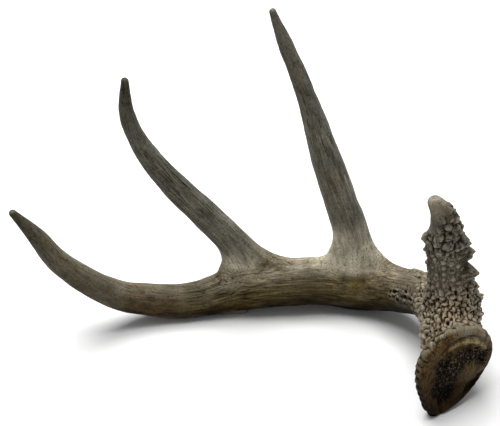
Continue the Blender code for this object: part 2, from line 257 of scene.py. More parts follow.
# %% The gap to the common skin
FORK_BLEND = 3.2  # how softly two branches run into each other, in millimetres


def skin_gap(points):
    """The gap to the antler's smooth skin, and the way out of it."""
    shapes = [nearest_on(name, points)[:2] for name in ROUTES] + [burr_gap(points)]
    gaps = np.array([gap for gap, _ in shapes])
    weights = np.exp(-(gaps - gaps.min(0)) / FORK_BLEND)
    blended = gaps.min(0) - FORK_BLEND * np.log(weights.sum(0))
    out = np.einsum("ij,ijk->jk", weights, np.array([way for _, way in shapes]))
    return blended, out / np.linalg.norm(out, axis=1, keepdims=True).clip(1e-6)


print("gap at the middle of the beam:", skin_gap(point[None])[0].round(1))

# %% [markdown]
# The first mesh is only rough. Every branch starts as a ring of points that is extruded from
# row to row along its route, and once more to a narrow end. The branches may overlap freely,
# because a later step makes one surface of them.

# %% Rough branches
RING_SIDES = 14
ROWS_APART = 3
END_REACH, END_SIZE = 0.8, 0.5  # how far on the last ring is and how large, in radii


def add_branch(form, line):
    """A ring extruded along a line, turned to face along it and scaled to its radius."""
    rows = line[sorted({*range(0, len(line), ROWS_APART), len(line) - 1})]
    beyond = (rows[-1] - rows[-2])[:3] / np.linalg.norm((rows[-1] - rows[-2])[:3])
    end = rows[-1, :3] + beyond * rows[-1, 3] * END_REACH
    rows = np.vstack([rows, [*end, rows[-1, 3] * END_SIZE]])
    headings = np.gradient(rows[:, :3], axis=0)
    ring = bmesh.ops.create_circle(form, segments=RING_SIDES, radius=1.0)["verts"]
    edges = list({edge for vert in ring for edge in vert.link_edges})
    ends = list(edges)
    turn, heading, pose = Matrix.Identity(3), Vector((0, 0, 1)), Matrix.Identity(4)
    for count, (row, ahead) in enumerate(zip(rows, headings)):
        if count:
            made = bmesh.ops.extrude_edge_only(form, edges=edges)["geom"]
            ring = [item for item in made if isinstance(item, bmesh.types.BMVert)]
            edges = [item for item in made if isinstance(item, bmesh.types.BMEdge)
                     and all(vert in ring for vert in item.verts)]
        turn = heading.rotation_difference(Vector(ahead)).to_matrix() @ turn
        heading = Vector(ahead)
        target = Matrix.LocRotScale(Vector(row[:3]) * MM, turn, Vector([row[3] * MM] * 3))
        bmesh.ops.transform(form, matrix=target @ pose.inverted(), verts=ring)
        pose = target
    bmesh.ops.holes_fill(form, edges=ends + edges, sides=0)


form = bmesh.new()
for line in LINES.values():
    add_branch(form, line)
print("rough branches:", len(form.faces), "faces")

# %% [markdown]
# The burr is a short cylinder that is laid over the foot of the beam, turned so that its end
# looks the way the burr's face does. Its rim is pushed out to the outline. Twelve points on a
# curve could be filled and thickened instead, but a ready cylinder needs only one loop.

# %% Rough burr
DISC_RADIUS = 20

face_way = Vector(BURR_NORMAL).to_track_quat("Z", "Y").to_matrix().to_4x4()
disc = bmesh.ops.create_cone(
    form, cap_ends=True, segments=48, radius1=DISC_RADIUS * MM, radius2=DISC_RADIUS * MM,
    depth=2 * BURR_HALF_THICKNESS * MM,
    matrix=Matrix.Translation(Vector(BURR_CENTRE) * MM) @ face_way)
for vert in disc["verts"]:
    across, high, _ = on_burr(np.array(vert.co) / MM)
    wider = (around(BURR_OUTLINE, math.atan2(high, across)) - 1) / math.hypot(across, high) - 1
    vert.co += Vector(BURR_LEVEL * across + BURR_UPWARD * high) * wider * MM
bmesh.ops.recalc_face_normals(form, faces=form.faces)
print("rough form:", len(form.faces), "faces")

# %% [markdown]
# A Boolean union could join the branches, but it would keep their faces, long and thin, with
# a hard line at each fork. The Remesh modifier in voxel mode makes one closed surface of
# small, even squares instead, which can then be moved anywhere.

# %% One surface
VOXEL = 2.2

antler = bpy.data.objects.new("antler", bpy.data.meshes.new("antler"))
bpy.context.scene.collection.objects.link(antler)
form.to_mesh(antler.data)
form.free()


def finish_modifiers(piece):
    """Replaces the object's mesh with what its modifiers make of it."""
    graph = bpy.context.evaluated_depsgraph_get()
    mesh = bpy.data.meshes.new_from_object(piece.evaluated_get(graph))
    piece.modifiers.clear()
    piece.data = mesh


remesh = antler.modifiers.new("one_skin", "REMESH")
remesh.mode = "VOXEL"
remesh.voxel_size = VOXEL * MM
finish_modifiers(antler)
print("one surface:", len(antler.data.vertices), "points")

# %% [markdown]
# The squares still follow the grid of voxels. Smoothing them would also thin the tines. Each
# point walks along the way out instead, until its gap to the skin is nothing. A few short
# walks are enough, and the stair steps are gone.

# %% Settle on the skin
def coordinates(mesh):
    """The places of a mesh's points, in millimetres."""
    points = np.empty(len(mesh.vertices) * 3, np.float32)
    mesh.vertices.foreach_get("co", points)
    return points.reshape(-1, 3).astype(float) / MM


def set_coordinates(mesh, points):
    """Moves a mesh's points to these places."""
    mesh.vertices.foreach_set("co", (points * MM).astype(np.float32).ravel())
    mesh.update()


def normals(mesh):
    """The way out of the mesh at each of its points."""
    found = np.empty(len(mesh.vertices) * 3, np.float32)
    mesh.vertex_normals.foreach_get("vector", found)
    return found.reshape(-1, 3).astype(float)


def settle_on_skin(mesh, rounds):
    """Walks each point to the skin, and gives the largest step of the last round."""
    points = coordinates(mesh)
    for _ in range(rounds):
        gap, out = skin_gap(points)
        points -= gap[:, None] * out
    set_coordinates(mesh, points)
    return np.abs(gap).max()


print("largest last step, mm:", settle_on_skin(antler.data, 4).round(2))

# %% [markdown]
# Near the burr the bone is covered in beads a few millimetres across, while the tines are
# smooth. So the sides of the squares are cut in four where the beads will be and at a few
# spots such as the tips, and in two where the roughness fades. A finer remesh would give all
# of the bone small squares, but this way the points are spent where they show.

# %% Finer squares where the beads are
# Distances up a branch where something starts to fade, and where it has ended.
FINER_ON_BEAM, FINER_ON_BROW = (78, 114), (100, 120)
BEADS_ON_BEAM, BEADS_ON_BROW = (42, 70), (73, 91)
BEADS_LEAN = np.array((13, -6, 0))  # the side on which they climb higher up the brow tine
OFF_BRANCH = (3, 9)  # gaps to a branch where its own zone fades, and ends
FINE_SPOTS = np.array([LINES[name][-1, :3] for name in ("beam", "second_tine", "third_tine")]
                      + [(91, 20, 32), (99, 10, 37), (105, 32, 44), (97, 42, 38)])


def fade(value, start, end):
    """1 up to start, 0 from end, and a smooth step between."""
    share = ((np.asarray(value, float) - start) / (end - start)).clip(0, 1)
    return 1 - share * share * (3 - 2 * share)


def zone(points, on_beam, on_brow):
    """How strongly each point is in the rough end: 1 near the burr, 0 out on the tines."""
    beam_gap, _, beam_distance = nearest_on("beam", points)
    brow_gap, way, brow_distance = nearest_on("brow_tine", points)
    brow_distance -= way @ BEADS_LEAN
    beam = fade(beam_distance, *on_beam) * fade(beam_gap, *OFF_BRANCH)
    return np.maximum(beam, fade(brow_distance, *on_brow) * fade(brow_gap, *OFF_BRANCH))


points = coordinates(antler.data)
spot_gap = np.linalg.norm(points[:, None] - FINE_SPOTS, axis=2).min(1)
finest = np.max([zone(points, BEADS_ON_BEAM, BEADS_ON_BROW), fade(burr_gap(points)[0], 2, 4),
                 fade(spot_gap, 6, 8)], axis=0)
middling = zone(points, FINER_ON_BEAM, FINER_ON_BROW)
cuts_there = np.where(finest > 0.15, 3, np.where(middling > 0.1, 1, 0))
form = bmesh.new()
form.from_mesh(antler.data)
for cuts in (3, 1):
    edges = [edge for edge in form.edges
             if all(vert.index < len(cuts_there) and cuts_there[vert.index] == cuts
                    for vert in edge.verts)]
    form.verts.index_update()
    bmesh.ops.subdivide_edges(form, edges=edges, cuts=cuts, use_grid_fill=True)
    form.verts.index_update()
form.to_mesh(antler.data)
form.free()
settle_on_skin(antler.data, 3)
print("points now:", len(antler.data.vertices))

# %% [markdown]
# ## The beads
# The beads, or pearls, are where the bone swelled between the blood vessels of the velvet.
# They cover the foot of the beam and most of the brow tine, and run out in a rough top edge
# and a strip of pits along the beam. A mask painted by hand could say where they are. Here
# each point gets a number instead, 1 among the beads and fading to 0 up the branches.

# %% Where the beads are
BEADS_END = [0, 1, 1.2, 0.5, -2, -3, -3, -3, -3, -3, -3, -2]  # height where they meet the burr
# Soft balls on the skin: the centre, reach and strength of each.
TOP_EDGE = [((97, 42, 38), 8, 0.5), ((105, 32, 44), 10, 0.9), ((111, 20, 48), 10, 0.9)]
PITTED = [((90, 20.5, 32), 6, 0.8), ((94, 17, 34), 7, 1.0), ((99, 11, 37), 9, 1.0),
          ((101, 4, 39), 8, 1.0), ((104, -3, 42), 9, 1.0), ((105, -9, 44), 7, 0.8)]


def soft_balls(points, places):
    """The strongest of a few soft balls at each point: centre, reach and strength."""
    amount = np.zeros(len(points))
    for centre, reach, strength in places:
        apart = np.linalg.norm(points - np.array(centre), axis=1)
        amount = np.maximum(amount, strength * np.exp(-2 * (apart / reach)**2))
    return amount


skin = coordinates(antler.data)
outward = normals(antler.data)
across, high, above = on_burr(skin)
burr_angle = np.arctan2(high, across)
burr_reach = np.hypot(across, high)
beads_end = around(BEADS_END, burr_angle)
behind_burr = fade(above, beads_end - 1.5, beads_end)
away_from_burr = np.maximum(behind_burr, 1 - fade(burr_reach, 32, 36))
beaded = np.maximum(zone(skin, BEADS_ON_BEAM, BEADS_ON_BROW), soft_balls(skin, TOP_EDGE) * 0.7)
beaded *= away_from_burr
pit_strip = soft_balls(skin, PITTED)
rough = np.maximum(beaded, pit_strip)
brow_gap, _, up_brow = nearest_on("brow_tine", skin)
apart_there = 1 - fade(up_brow, 14, 34)  # the beads stand apart on the brow tine
soft_there = 1 - fade(up_brow, 46, 64)  # and sink into soft lumps towards its tip
foot_there = fade(up_brow, 10, 26) * fade(brow_gap, 4, 9)  # the smoother foot of the tine
print("points among the beads:", int((beaded > 0.5).sum()))

# %% [markdown]
# A Voronoi texture could give the beads, but all of one size. Here they are scattered as
# darts: a point is taken only if no bead is too near, and every bead gets a size of its own.
# Two more throws, with seeds of their own, give the larger lumps and the small pits.

# %% Scatter the darts
BEADS_APART, LUMPS_APART, PITS_APART = 3.4, 5.2, 3.9  # the least distances, in millimetres


def scatter(where, spacing, seed):
    """Picks points at random, none nearer to another than the spacing at it."""
    picked, chosen = np.empty((len(where), 3)), []
    for i in np.random.default_rng(seed).permutation(where):
        apart = picked[:len(chosen)] - skin[i]
        if not chosen or (apart**2).sum(1).min() > spacing[i]**2:
            picked[len(chosen)] = skin[i]
            chosen.append(i)
    return np.array(chosen)


bead_spacing = BEADS_APART + 1.5 * apart_there + 0.5 * (1 - beaded)
lump_spacing = np.full(len(skin), LUMPS_APART)
beads = scatter(np.flatnonzero(beaded > 0.25), bead_spacing, seed=4)
lumps = scatter(np.flatnonzero((beaded > 0.3) & (up_brow > 20)), lump_spacing, seed=8)
pits = scatter(np.flatnonzero(rough > 0.3), PITS_APART - 1.3 * pit_strip, seed=15)
print("beads:", len(beads), " lumps:", len(lumps), " pits:", len(pits))

# %% [markdown]
# Each dart becomes a dome: round, or drawn out along the branch or across it. A tree of the
# points finds those under each dome quickly. Where domes overlap the higher one wins, which
# leaves a crisp crease between two neighbours. A dome can also lean, with a long slope
# towards the tip and a steep one towards the root.

# %% Domes
def branch_heading(points):
    """The direction of the nearest branch at each point."""
    heading, least = np.zeros((len(points), 3)), np.full(len(points), 1e9)
    for name in BRANCHES:
        gap, _, distance = nearest_on(name, points)
        line, along = LINES[name], lengths_along(LINES[name])
        way = np.gradient(line[:, :3], along, axis=0)
        nearer = gap < least
        for k in range(3):
            heading[nearer, k] = np.interp(distance[nearer], along, way[:, k])
        least = np.minimum(least, gap)
    return heading / np.linalg.norm(heading, axis=1, keepdims=True)


tree = kdtree.KDTree(len(skin))
for i, place in enumerate(skin):
    tree.insert(place, i)
tree.balance()


def domes(centres, radius, height, length, power, lean=0.0):
    """The rise of the highest dome over each point. A dome can lean towards the root."""
    rise = np.zeros(len(skin))
    rows = zip(skin[centres], branch_heading(skin[centres]), radius, height, length)
    for centre, ahead, wide, tall, long in rows:
        near = [index for _, index, _ in tree.find_range(centre, 1.3 * wide * max(long, 1))]
        offset = skin[near] - centre
        lengthwise = offset @ ahead
        steeper = np.where(lengthwise < 0, 1 + lean, 1 - 0.5 * lean) / long
        apart = (offset**2).sum(1) + lengthwise**2 * (steeper**2 - 1)
        rise[near] = np.maximum(rise[near], tall * (1 - apart / wide**2).clip(0)**power)
    return rise


print("points in the tree:", len(skin))

# %% [markdown]
# The beads differ in size, height and length, as real ones do, and a few are worn low. The
# lumps are wider, softer and lean more. Pits are domes as well, but they are pushed inwards,
# and they keep to the gaps between the beads.

# %% Beads, lumps and pits
WORN_BEADS = [((131, -28, 60), 12, 0.5), ((100, 6, 38), 8, 0.6)]  # soft balls, as above

random = np.random.default_rng(11)
bead_radius = bead_spacing[beads] * random.uniform(0.38, 0.52, len(beads))
bead_radius *= 1 - 0.32 * apart_there[beads]
bead_height = bead_radius * random.choice([0.5, 0.8, 1.1, 1.3], len(beads))
bead_height *= 1 - 0.4 * soft_there[beads]
bead_height *= 1 - 0.2 * apart_there[beads]
bead_length = random.choice([1.0, 1.0, 1.3, 1.7, 0.7], len(beads))
bead = domes(beads, bead_radius, bead_height, bead_length, power=0.6, lean=0.35)
bead *= beaded**0.5 * (1 - soft_balls(skin, WORN_BEADS))

lump_radius = random.uniform(2.6, 4.6, len(lumps))
lump_height = lump_radius * random.uniform(0.25, 0.50, len(lumps))
lump_length = random.choice([1.0, 1.2, 1.5, 0.7], len(lumps))
lump = domes(lumps, lump_radius, lump_height, lump_length, power=1.0, lean=0.6)
lump *= beaded * (0.15 + soft_there)

pit_radius = random.uniform(0.8, 1.4, len(pits)) * (1 + 0.3 * pit_strip[pits])
pit_depth = pit_radius * random.uniform(0.7, 1.3, len(pits))
pit_length = random.choice([0.45, 0.6, 1.0, 1.6, 2.2], len(pits))
pit = domes(pits, pit_radius, pit_depth, pit_length, power=0.7)
pit *= rough**0.5 * (1 - (bead + lump) / 1.4).clip(0, 1)
pit *= 1 - 0.7 * apart_there
print("highest bead, mm:", bead.max().round(2), " deepest pit:", pit.max().round(2))

# %% [markdown]
# Along the outer edge of the brow tine stands a row of thorns, larger than any bead, with a
# few more on its inner edge and on the base. The beam's underside has one low knob with a
# step beside it. They could be sculpted by hand. Here each is pushed out of the skin by a bell
# curve: its route, the distance along it, the way it points, its height and its width.

# %% Thorns and knobs
KNOBS = [
    ("brow_tine", 72, (1.0, -0.1, 0.0), 2.2, 4.5),
    ("brow_tine", 62, (1.0, -0.1, 0.0), 5.0, 5.0),
    ("brow_tine", 53, (1.0, -0.1, -0.2), 5.2, 5.0),
    ("brow_tine", 33, (1.0, -0.2, -0.3), 7.6, 6.6),
    ("brow_tine", 20, (1.0, -0.2, 0.0), 4.2, 5.5),
    ("brow_tine", 5, (1.0, 0.0, 0.1), 2.8, 5.5),
    ("brow_tine", 64, (-1.0, 0.0, 0.0), 2.6, 4.5),
    ("brow_tine", 54, (-1.0, -0.1, 0.0), 1.2, 4.5),
    ("brow_tine", 47, (1.0, -0.1, -0.1), 5.6, 5.2),
    ("beam", 42, (1.0, 0.0, 0.5), 2.6, 6.0),
    ("beam", 32, (1.0, 0.0, 0.4), 3.2, 6.0),
    ("beam", 209, (0.0, -0.5, -0.85), 2.6, 4.5),
    ("beam", 218, (0.0, -0.5, -0.85), 1.8, 9.0),
]


def knob_pushes(points):
    """How far each point is carried by the thorns and knobs."""
    push = np.zeros_like(points)
    for name, distance, away, height, width in KNOBS:
        centre, along, radius = place_on(name, distance)
        away = np.array(away) - along * (np.array(away) @ along)
        away /= np.linalg.norm(away)
        offset = points - (centre + away * radius)
        lengthwise = offset @ along
        steeper = np.where(lengthwise < 0, 1.5, 0.8)  # towards the root
        apart = (offset**2).sum(1) + lengthwise**2 * (steeper**2 - 1)
        push += away * (height * np.exp(-1.4 * (apart / width**2)**1.3))[:, None]
    return push


knobs = knob_pushes(skin)
print("farthest push, mm:", np.linalg.norm(knobs, axis=1).max().round(1))

# %% [markdown]
# ## The relief of the burr
# The burr's edge is a string of flat beads with narrow dark notches between them, which only
# cut its outer side. One bead that is copied round a circle would look machined. Here the
# length of a bead and its rise are given every 30 degrees, as the outline was. Adding up the
# lengths round the edge gives each place its count of beads, so whole beads fit.

# %% Beads round the burr's edge
BEAD_PITCH = [5.5, 5.5, 14.0, 9.5, 7.5, 5.0, 5.4, 5.8, 7.0, 6.0, 5.5, 5.0]
BEAD_RISE = [1.1, 0.8, 0.3, 0.6, 1.0, 1.5, 1.5, 0.9, 0.5, 0.8, 1.1, 1.2]

ring_angle = np.linspace(-math.pi, math.pi, 721)
ring_step = around(BURR_OUTLINE, ring_angle) * math.radians(0.5)
ring_count = np.cumsum(ring_step / around(BEAD_PITCH, ring_angle))
ring_count *= round(ring_count[-1]) / ring_count[-1]
bead_count = np.interp(burr_angle + 0.02 * np.sin(7 * burr_angle), ring_angle, ring_count) + 0.5
bead_arch = np.abs(np.sin(bead_count * math.pi))
bead_rise = around(BEAD_RISE, burr_angle)
edge_reach = burr_reach - around(BURR_OUTLINE, burr_angle)
on_edge = (1 - fade(edge_reach, -7, -2.5)) * fade(np.abs(above), 5, 9)
outer_side = (1 - fade(edge_reach, -2.6, -0.4)) * fade(np.abs(above), 2.2, 4.2)
back_half = fade(above, -0.6, 2.0)
notch = (1 - bead_arch / 0.85).clip(0, 1) * outer_side * back_half * bead_rise
edge_bead = bead_rise * (bead_arch**0.6 - 0.75) * 0.6 * outer_side - 1.8 * notch
print("beads round the edge:", round(ring_count[-1]))

# %% [markdown]
# On one side of the top the beads are large pads that hang over the edge like knuckles. They
# are placed one by one, as there are only a few: the angle round the burr, the place above its
# middle plane, the half size and the rise.

# %% Pads on the rim
PADS = [
    (140, 0.8, 4.1, 2.2), (134, -2.8, 2.6, 1.7), (127.5, 0.2, 2.8, 1.9), (130, 2.6, 2.0, 1.2),
    (119, 0.0, 1.9, 1.8), (115, 0.8, 1.8, 1.9), (111, 1.4, 1.8, 1.7), (123, -4.6, 2.6, 1.6),
    (104.5, 1.2, 2.6, 1.5), (99.5, 1.2, 2.6, 1.3), (151, 0.6, 2.6, 1.3), (112, -4.4, 2.8, 1.5),
    (244, -1.0, 4.0, 1.2),
]


def pad_place(angle, height):
    """A place on the burr's edge, and the way out of it."""
    turn = math.radians(angle)
    radial = math.cos(turn) * BURR_LEVEL + math.sin(turn) * BURR_UPWARD
    reach = float(around(BURR_OUTLINE, np.array(turn)))
    return BURR_CENTRE + radial * (reach - 1.5) + BURR_NORMAL * height, radial


pads = np.zeros_like(skin)
pad_cover = np.zeros(len(skin))
for angle, height, size, rise in PADS:
    centre, radial = pad_place(angle, height)
    offset = skin - centre
    apart = (offset**2).sum(1) - 0.55 * (offset @ radial)**2
    cover = (1 - apart / size**2).clip(0)**0.55
    pads += np.outer(rise * np.where(cover > pad_cover, cover - pad_cover, 0),
                     radial + 0.35 * BURR_NORMAL)
    pad_cover = np.maximum(pad_cover, cover)
print("pads on the rim:", len(PADS))

# %% [markdown]
# The face inside the edge has a raised lip, a shallow moat and a low dome with an inner ridge
# along one side. The bone of the old joint is sunken, rough and almost black, in a patch that
# isn't round, and smooth bulges stand in its lower part. A thin notch runs in at the foot.
# Rings could be inset and moved for the round forms, but the patch needs ovals that overlap,
# so all of it is written as heights over the face.

# %% The burr's face
SEAL_RADIUS = 19.5
MOAT_DEPTH = 2.0
DOME_HEIGHT = 2.6
SEAL_FLAT_SINK = 0.35
INNER_RIDGE = [23.4, 21.4, 19.9, 18.2, 17.6, 18.0, 18.5, 18.5, 21.0, 20.0, 19.0, 21.0]
RIDGE_RISE = [0.8, 1.2, 1.4, 1.2, 0.4, 0.1, 0.0, 0.0, 0.2, 0.2, 0.3, 0.6]
RIDGE_WIDTH, MOAT_WIDTH, MOAT_BEYOND = 1.8, 1.6, 3.0  # the moat lies this far outside the ridge
# Ovals: the middle across and up the face, the two half sizes and the turn in degrees.
SUNKEN = [((-6, 1), (12, 14), -10), ((6, 7), (14.5, 7.5), 0), ((19, 0), (7, 9), -20),
          ((-6, -15), (9, 8), 10), ((14, -16), (12, 4), 30), ((-14, -10), (6, 7), 0)]


def blob(centre, sizes, turned=0.0):
    """1 in the middle of an oval on the burr's face, and 0 well outside it."""
    a, h = across - centre[0], high - centre[1]
    c, s = math.cos(math.radians(turned)), math.sin(math.radians(turned))
    return np.exp(-((a * c + h * s) / sizes[0])**2 - ((h * c - a * s) / sizes[1])**2)


on_face = 1 - fade(above, BURR_HALF_THICKNESS - 2, BURR_HALF_THICKNESS - 0.5)
on_face *= fade(burr_reach, 30, 34)
ridge_gap = burr_reach - around(INNER_RIDGE, burr_angle)
ridge_there = around(RIDGE_RISE, burr_angle).clip(0)
inner_ridge = ridge_there * np.exp(-(ridge_gap / RIDGE_WIDTH)**2)
moat = ridge_there / max(RIDGE_RISE)
moat *= np.exp(-((ridge_gap - MOAT_BEYOND) / MOAT_WIDTH)**2)
bulge = np.maximum(blob((11, -9), (8, 6), 40), 0.7 * blob((4, -18), (6, 3.5), 15))
foot_notch = blob((-12.5, -22), (1.2, 7), 12)
sunken_there = np.max([blob(*place) for place in SUNKEN], axis=0)
sunken = (1 - fade(sunken_there, 0.25, 0.75)) * on_face * (1 - 0.9 * bulge)
face_relief = (DOME_HEIGHT * fade(burr_reach, 0, SEAL_RADIUS * 0.75)
               - MOAT_DEPTH * fade(burr_reach, SEAL_RADIUS - 3, SEAL_RADIUS + 7)
               + inner_ridge - 0.9 * moat + 1.2 * bulge - 2.2 * foot_notch
               - 0.7 * sunken) * on_face
print("face relief, mm:", face_relief.min().round(2), "to", face_relief.max().round(2))

# %% [markdown]
# ## Creases, ridges and pits
# Smooth bone is never quite smooth. It waves a little, and shallow furrows run along it where
# the blood vessels lay. Two forms are large enough to shape: the groove that climbs the third
# tine's flank, and the shoulder along the top of the beam, which is steep below and gentle
# above. A sculpting brush would do it by hand. Here each is a line of points on the skin, with
# two half widths and a height, which can be read and changed later.

# %% Grooves and ridges
GROOVE = [(-19, 41, 79), (-13, 40, 70), (-8, 40.3, 63.5), (-4, 40.6, 57.3), (2.3, 41.5, 49.4),
          (8.7, 41.3, 42.2), (12.7, 40.8, 38.5), (20, 41.6, 36.3), (28, 42.2, 34)]
SHOULDER = [(-36, 33, 19.5), (-20, 36, 24), (0, 38, 28.5), (15, 40, 31), (28, 41.5, 33.5),
            (40, 41.8, 33.6), (52, 40.9, 33.9), (64.5, 35, 38.3), (81, 36.9, 38), (92, 34, 39)]


def beside(points, places):
    """How far each point is from a line of places, how far above it, and its share along."""
    places = np.array(places, float)
    starts, spans = places[:-1], np.diff(places, axis=0)
    offset = points[:, None] - starts[None]
    share = (np.einsum("ijk,jk->ij", offset, spans) / (spans**2).sum(1)).clip(0, 1)
    offset -= share[..., None] * spans
    apart = np.linalg.norm(offset, axis=2)
    rows, pick = np.arange(len(points)), apart.argmin(1)
    return apart[rows, pick], offset[rows, pick, 2], (pick + share[rows, pick]) / len(spans)


def stroke(places, above_it, below_it, height, last=1.0):
    """The rise beside a line of places, with a half width on each side, fading at its ends."""
    apart, over, along = beside(skin, places)
    ends = (1 - fade(along, 0, 0.2)) * fade(along, last - 0.2, last)
    return height * np.exp(-(apart / np.where(over > 0, above_it, below_it))**2) * ends


groove = stroke(GROOVE, 1.6, 1.6, 0.55)
strokes = stroke(SHOULDER, 5.5, 2.8, 0.6, last=0.7) - groove
under_shoulder = fade(beside(skin, SHOULDER)[1], -6.0, 3.0) * (1 - fade(skin[:, 0], -40, -10))
print("strokes, mm:", strokes.min().round(2), "to", strokes.max().round(2))

# %% [markdown]
# The waves and furrows follow the bone, not the room. Straightened coordinates are therefore
# worked out for each point: how far it is along its branch, and its place across it. They
# are kept on the mesh as attributes too, because the finish will need them. A point near a
# fork gets two sets, one along the beam and one along the tine, with a share to mix them.

# %% Straightened coordinates
TINES_APART = 500  # so that no two tines get the same pattern
FORK_WIDTH = 1.6  # how softly the two sets are mixed, in millimetres


def side_ways(line):
    """A direction across the line at each row, carried along without twisting."""
    headings = np.gradient(line[:, :3], axis=0)
    side = Vector(headings[0]).orthogonal().normalized()
    sides = []
    for before, ahead in zip([headings[0], *headings], headings):
        side = Vector(before).rotation_difference(Vector(ahead)) @ side
        sides.append(np.array(side))
    return np.array(sides), headings


def straightened(name, points):
    """Each point as its distance along a branch and its two places across, and its gap."""
    line, along = LINES[name], lengths_along(LINES[name])
    sides, headings = side_ways(line)
    gap, out, distance = nearest_on(name, points)
    radius = gap + np.interp(distance, along, line[:, 3])
    side, ahead = (np.column_stack([np.interp(distance, along, way[:, k]) for k in range(3)])
                   for way in (sides, headings))
    ahead /= np.linalg.norm(ahead, axis=1, keepdims=True)
    other = np.cross(ahead, side)
    return gap, np.column_stack([distance, (out * side).sum(1) * radius,
                                 (out * other).sum(1) * radius])


beam_gap, beam_grain = straightened("beam", skin)
tine_gap, tine_grain = np.full(len(skin), 1e9), np.zeros((len(skin), 3))
for place, name in enumerate(BRANCHES[1:]):
    gap, grain = straightened(name, skin)
    gap = gap + 10 * fade(grain[:, 0], 16, 42)  # a tine's root lies inside the beam
    nearer = gap < tine_gap
    tine_grain[nearer] = grain[nearer] + (0, TINES_APART * (place + 1), 0)
    tine_gap = np.minimum(tine_gap, gap)
tine_share = 1 / (1 + np.exp(np.clip((tine_gap - beam_gap) / FORK_WIDTH, -30, 30)))
print("points that belong to a tine:", int((tine_share > 0.5).sum()))

# %% [markdown]
# Noise that is read in these coordinates, squeezed along the branch, gives long furrows. The
# rough end gets a shorter, deeper kind between its beads, and the sunken face a round one.

# %% Waves and furrows
WAVE_HEIGHT, RIPPLE_HEIGHT, SWELL_HEIGHT = 0.50, 0.30, 0.9
FURROW_DEPTH, WRINKLE_DEPTH, SPONGE_DEPTH = 0.32, 0.9, 1.1
BEADS_SINK = 0.6  # how much lower the bone lies between the beads


def grain_noise(length, width, seed, where=None):
    """Noise of about -1 to 1 in spots of this length along the bone and width across it."""
    scale = np.array((1 / length, 1 / width, 1 / width))
    value = np.zeros(len(skin))
    for i in range(len(skin)) if where is None else np.flatnonzero(where):
        if tine_share[i] < 0.98:
            at = Vector(beam_grain[i] * scale + seed)
            value[i] += (1 - tine_share[i]) * noise.noise(at)
        if tine_share[i] > 0.02:
            value[i] += tine_share[i] * noise.noise(Vector(tine_grain[i] * scale + seed))
    return value


def creases(value, width):
    """-1 along the lines where a noise is 0, and 0 wherever it is beyond this width."""
    return -(1 - np.abs(value) / width).clip(0, 1)


off_burr = (1 - on_face) * (1 - on_edge)
waves = (WAVE_HEIGHT * grain_noise(24, 10, seed=3.1)
         + RIPPLE_HEIGHT * grain_noise(10, 4.0, seed=7.7))
swell = SWELL_HEIGHT * grain_noise(9, 7, seed=6.2, where=beaded > 0.05) * beaded
swell *= 1 - 0.7 * apart_there
furrows = creases(grain_noise(9, 2.6, seed=12.3), width=0.28)
wrinkles = creases(grain_noise(3.0, 1.6, seed=5.9, where=rough > 0.05), width=0.35) * rough
wrinkles *= (1 - 0.5 * apart_there) * (1 - 0.15 * foot_there)
sponge = grain_noise(1.9, 1.9, seed=4.4, where=sunken > 0.05) * sunken
on_bone = waves + FURROW_DEPTH * furrows * (0.25 + 0.75 * rough) + WRINKLE_DEPTH * wrinkles
relief = (on_bone * off_burr + swell + SPONGE_DEPTH * sponge + strokes
          + edge_bead * (1 - pad_cover) + bead + lump - pit - BEADS_SINK * beaded)
print("relief, mm:", relief.min().round(2), "to", relief.max().round(2))

# %% [markdown]
# Now everything is added at once, each along its own way: the relief along the skin's
# normals, the face of the burr along the burr's normal, and the thorns along theirs. What
# would reach under the table is worn flat, so the antler rests on the same few places as
# the solids do.

# %% Carve it
FLAT_MIDDLE = 12  # the face is worn flat as far out as this

carved = skin + outward * relief[:, None] + np.outer(face_relief, BURR_NORMAL) + knobs + pads
seal_top = BURR_HALF_THICKNESS + DOME_HEIGHT - MOAT_DEPTH - SEAL_FLAT_SINK
over_flat = np.maximum((carved - BURR_CENTRE) @ BURR_NORMAL - seal_top, 0)
carved -= np.outer(over_flat * (burr_reach < FLAT_MIDDLE), BURR_NORMAL)
carved[:, 2] = np.maximum(carved[:, 2], 0)
set_coordinates(antler.data, carved)
print("box, mm:", carved.min(0).round(1), carved.max(0).round(1))

# %% [markdown]
# ## What the finish needs to know
# Old bone isn't one colour. It is pale on every edge that was rubbed, and dark in every hollow,
# with dirt and painted shade. Its colour also goes from pale above to brown and nearly black
# below, from bleaching and soil and as painted light and shade. Hollows and edges are found by
# comparing each point with the average of the points around it: one that lies deeper is in a
# hollow, and one that stands out is on an edge. The Geometry node's Pointiness does the same,
# but only for the very nearest points. On the foot of the brow tine and near its tip even
# shallow hollows are darkened, with dirt and painted shade, so less depth counts there.

# %% Find the hollows and the edges
HOLLOW_DEPTH = 0.38  # how deep a hollow is that is wholly dark, in millimetres

lines_of_mesh = np.empty(len(antler.data.edges) * 2, np.int32)
antler.data.edges.foreach_get("vertices", lines_of_mesh)
first_end, second_end = lines_of_mesh.reshape(-1, 2).T
ends, others = np.r_[first_end, second_end], np.r_[second_end, first_end]
neighbours = np.bincount(ends, minlength=len(skin))


def averaged(values, rounds):
    """Each point's value changed to the average of it and its neighbours, again and again."""
    for _ in range(rounds):
        around_it = np.bincount(ends, weights=values[others], minlength=len(skin))
        values = 0.5 * values + 0.5 * around_it / neighbours
    return values


height_there = ((carved - skin) * outward).sum(1)
stands_out = height_there - averaged(height_there, 20)
darker_there = 0.42 * foot_there + 0.35 * soft_there
hollow = (-stands_out / (HOLLOW_DEPTH * (1 - darker_there))).clip(0, 1)
rubbed = (stands_out / HOLLOW_DEPTH).clip(0, 1)
print("points in a hollow:", int((hollow > 0.5).sum()), " on an edge:", int((rubbed > 0.5).sum()))

# %% [markdown]
# These amounts are kept on the mesh as attributes, one number for each point, which the
# material reads by name. An image could hold them too, but it would need the skin unfolded.

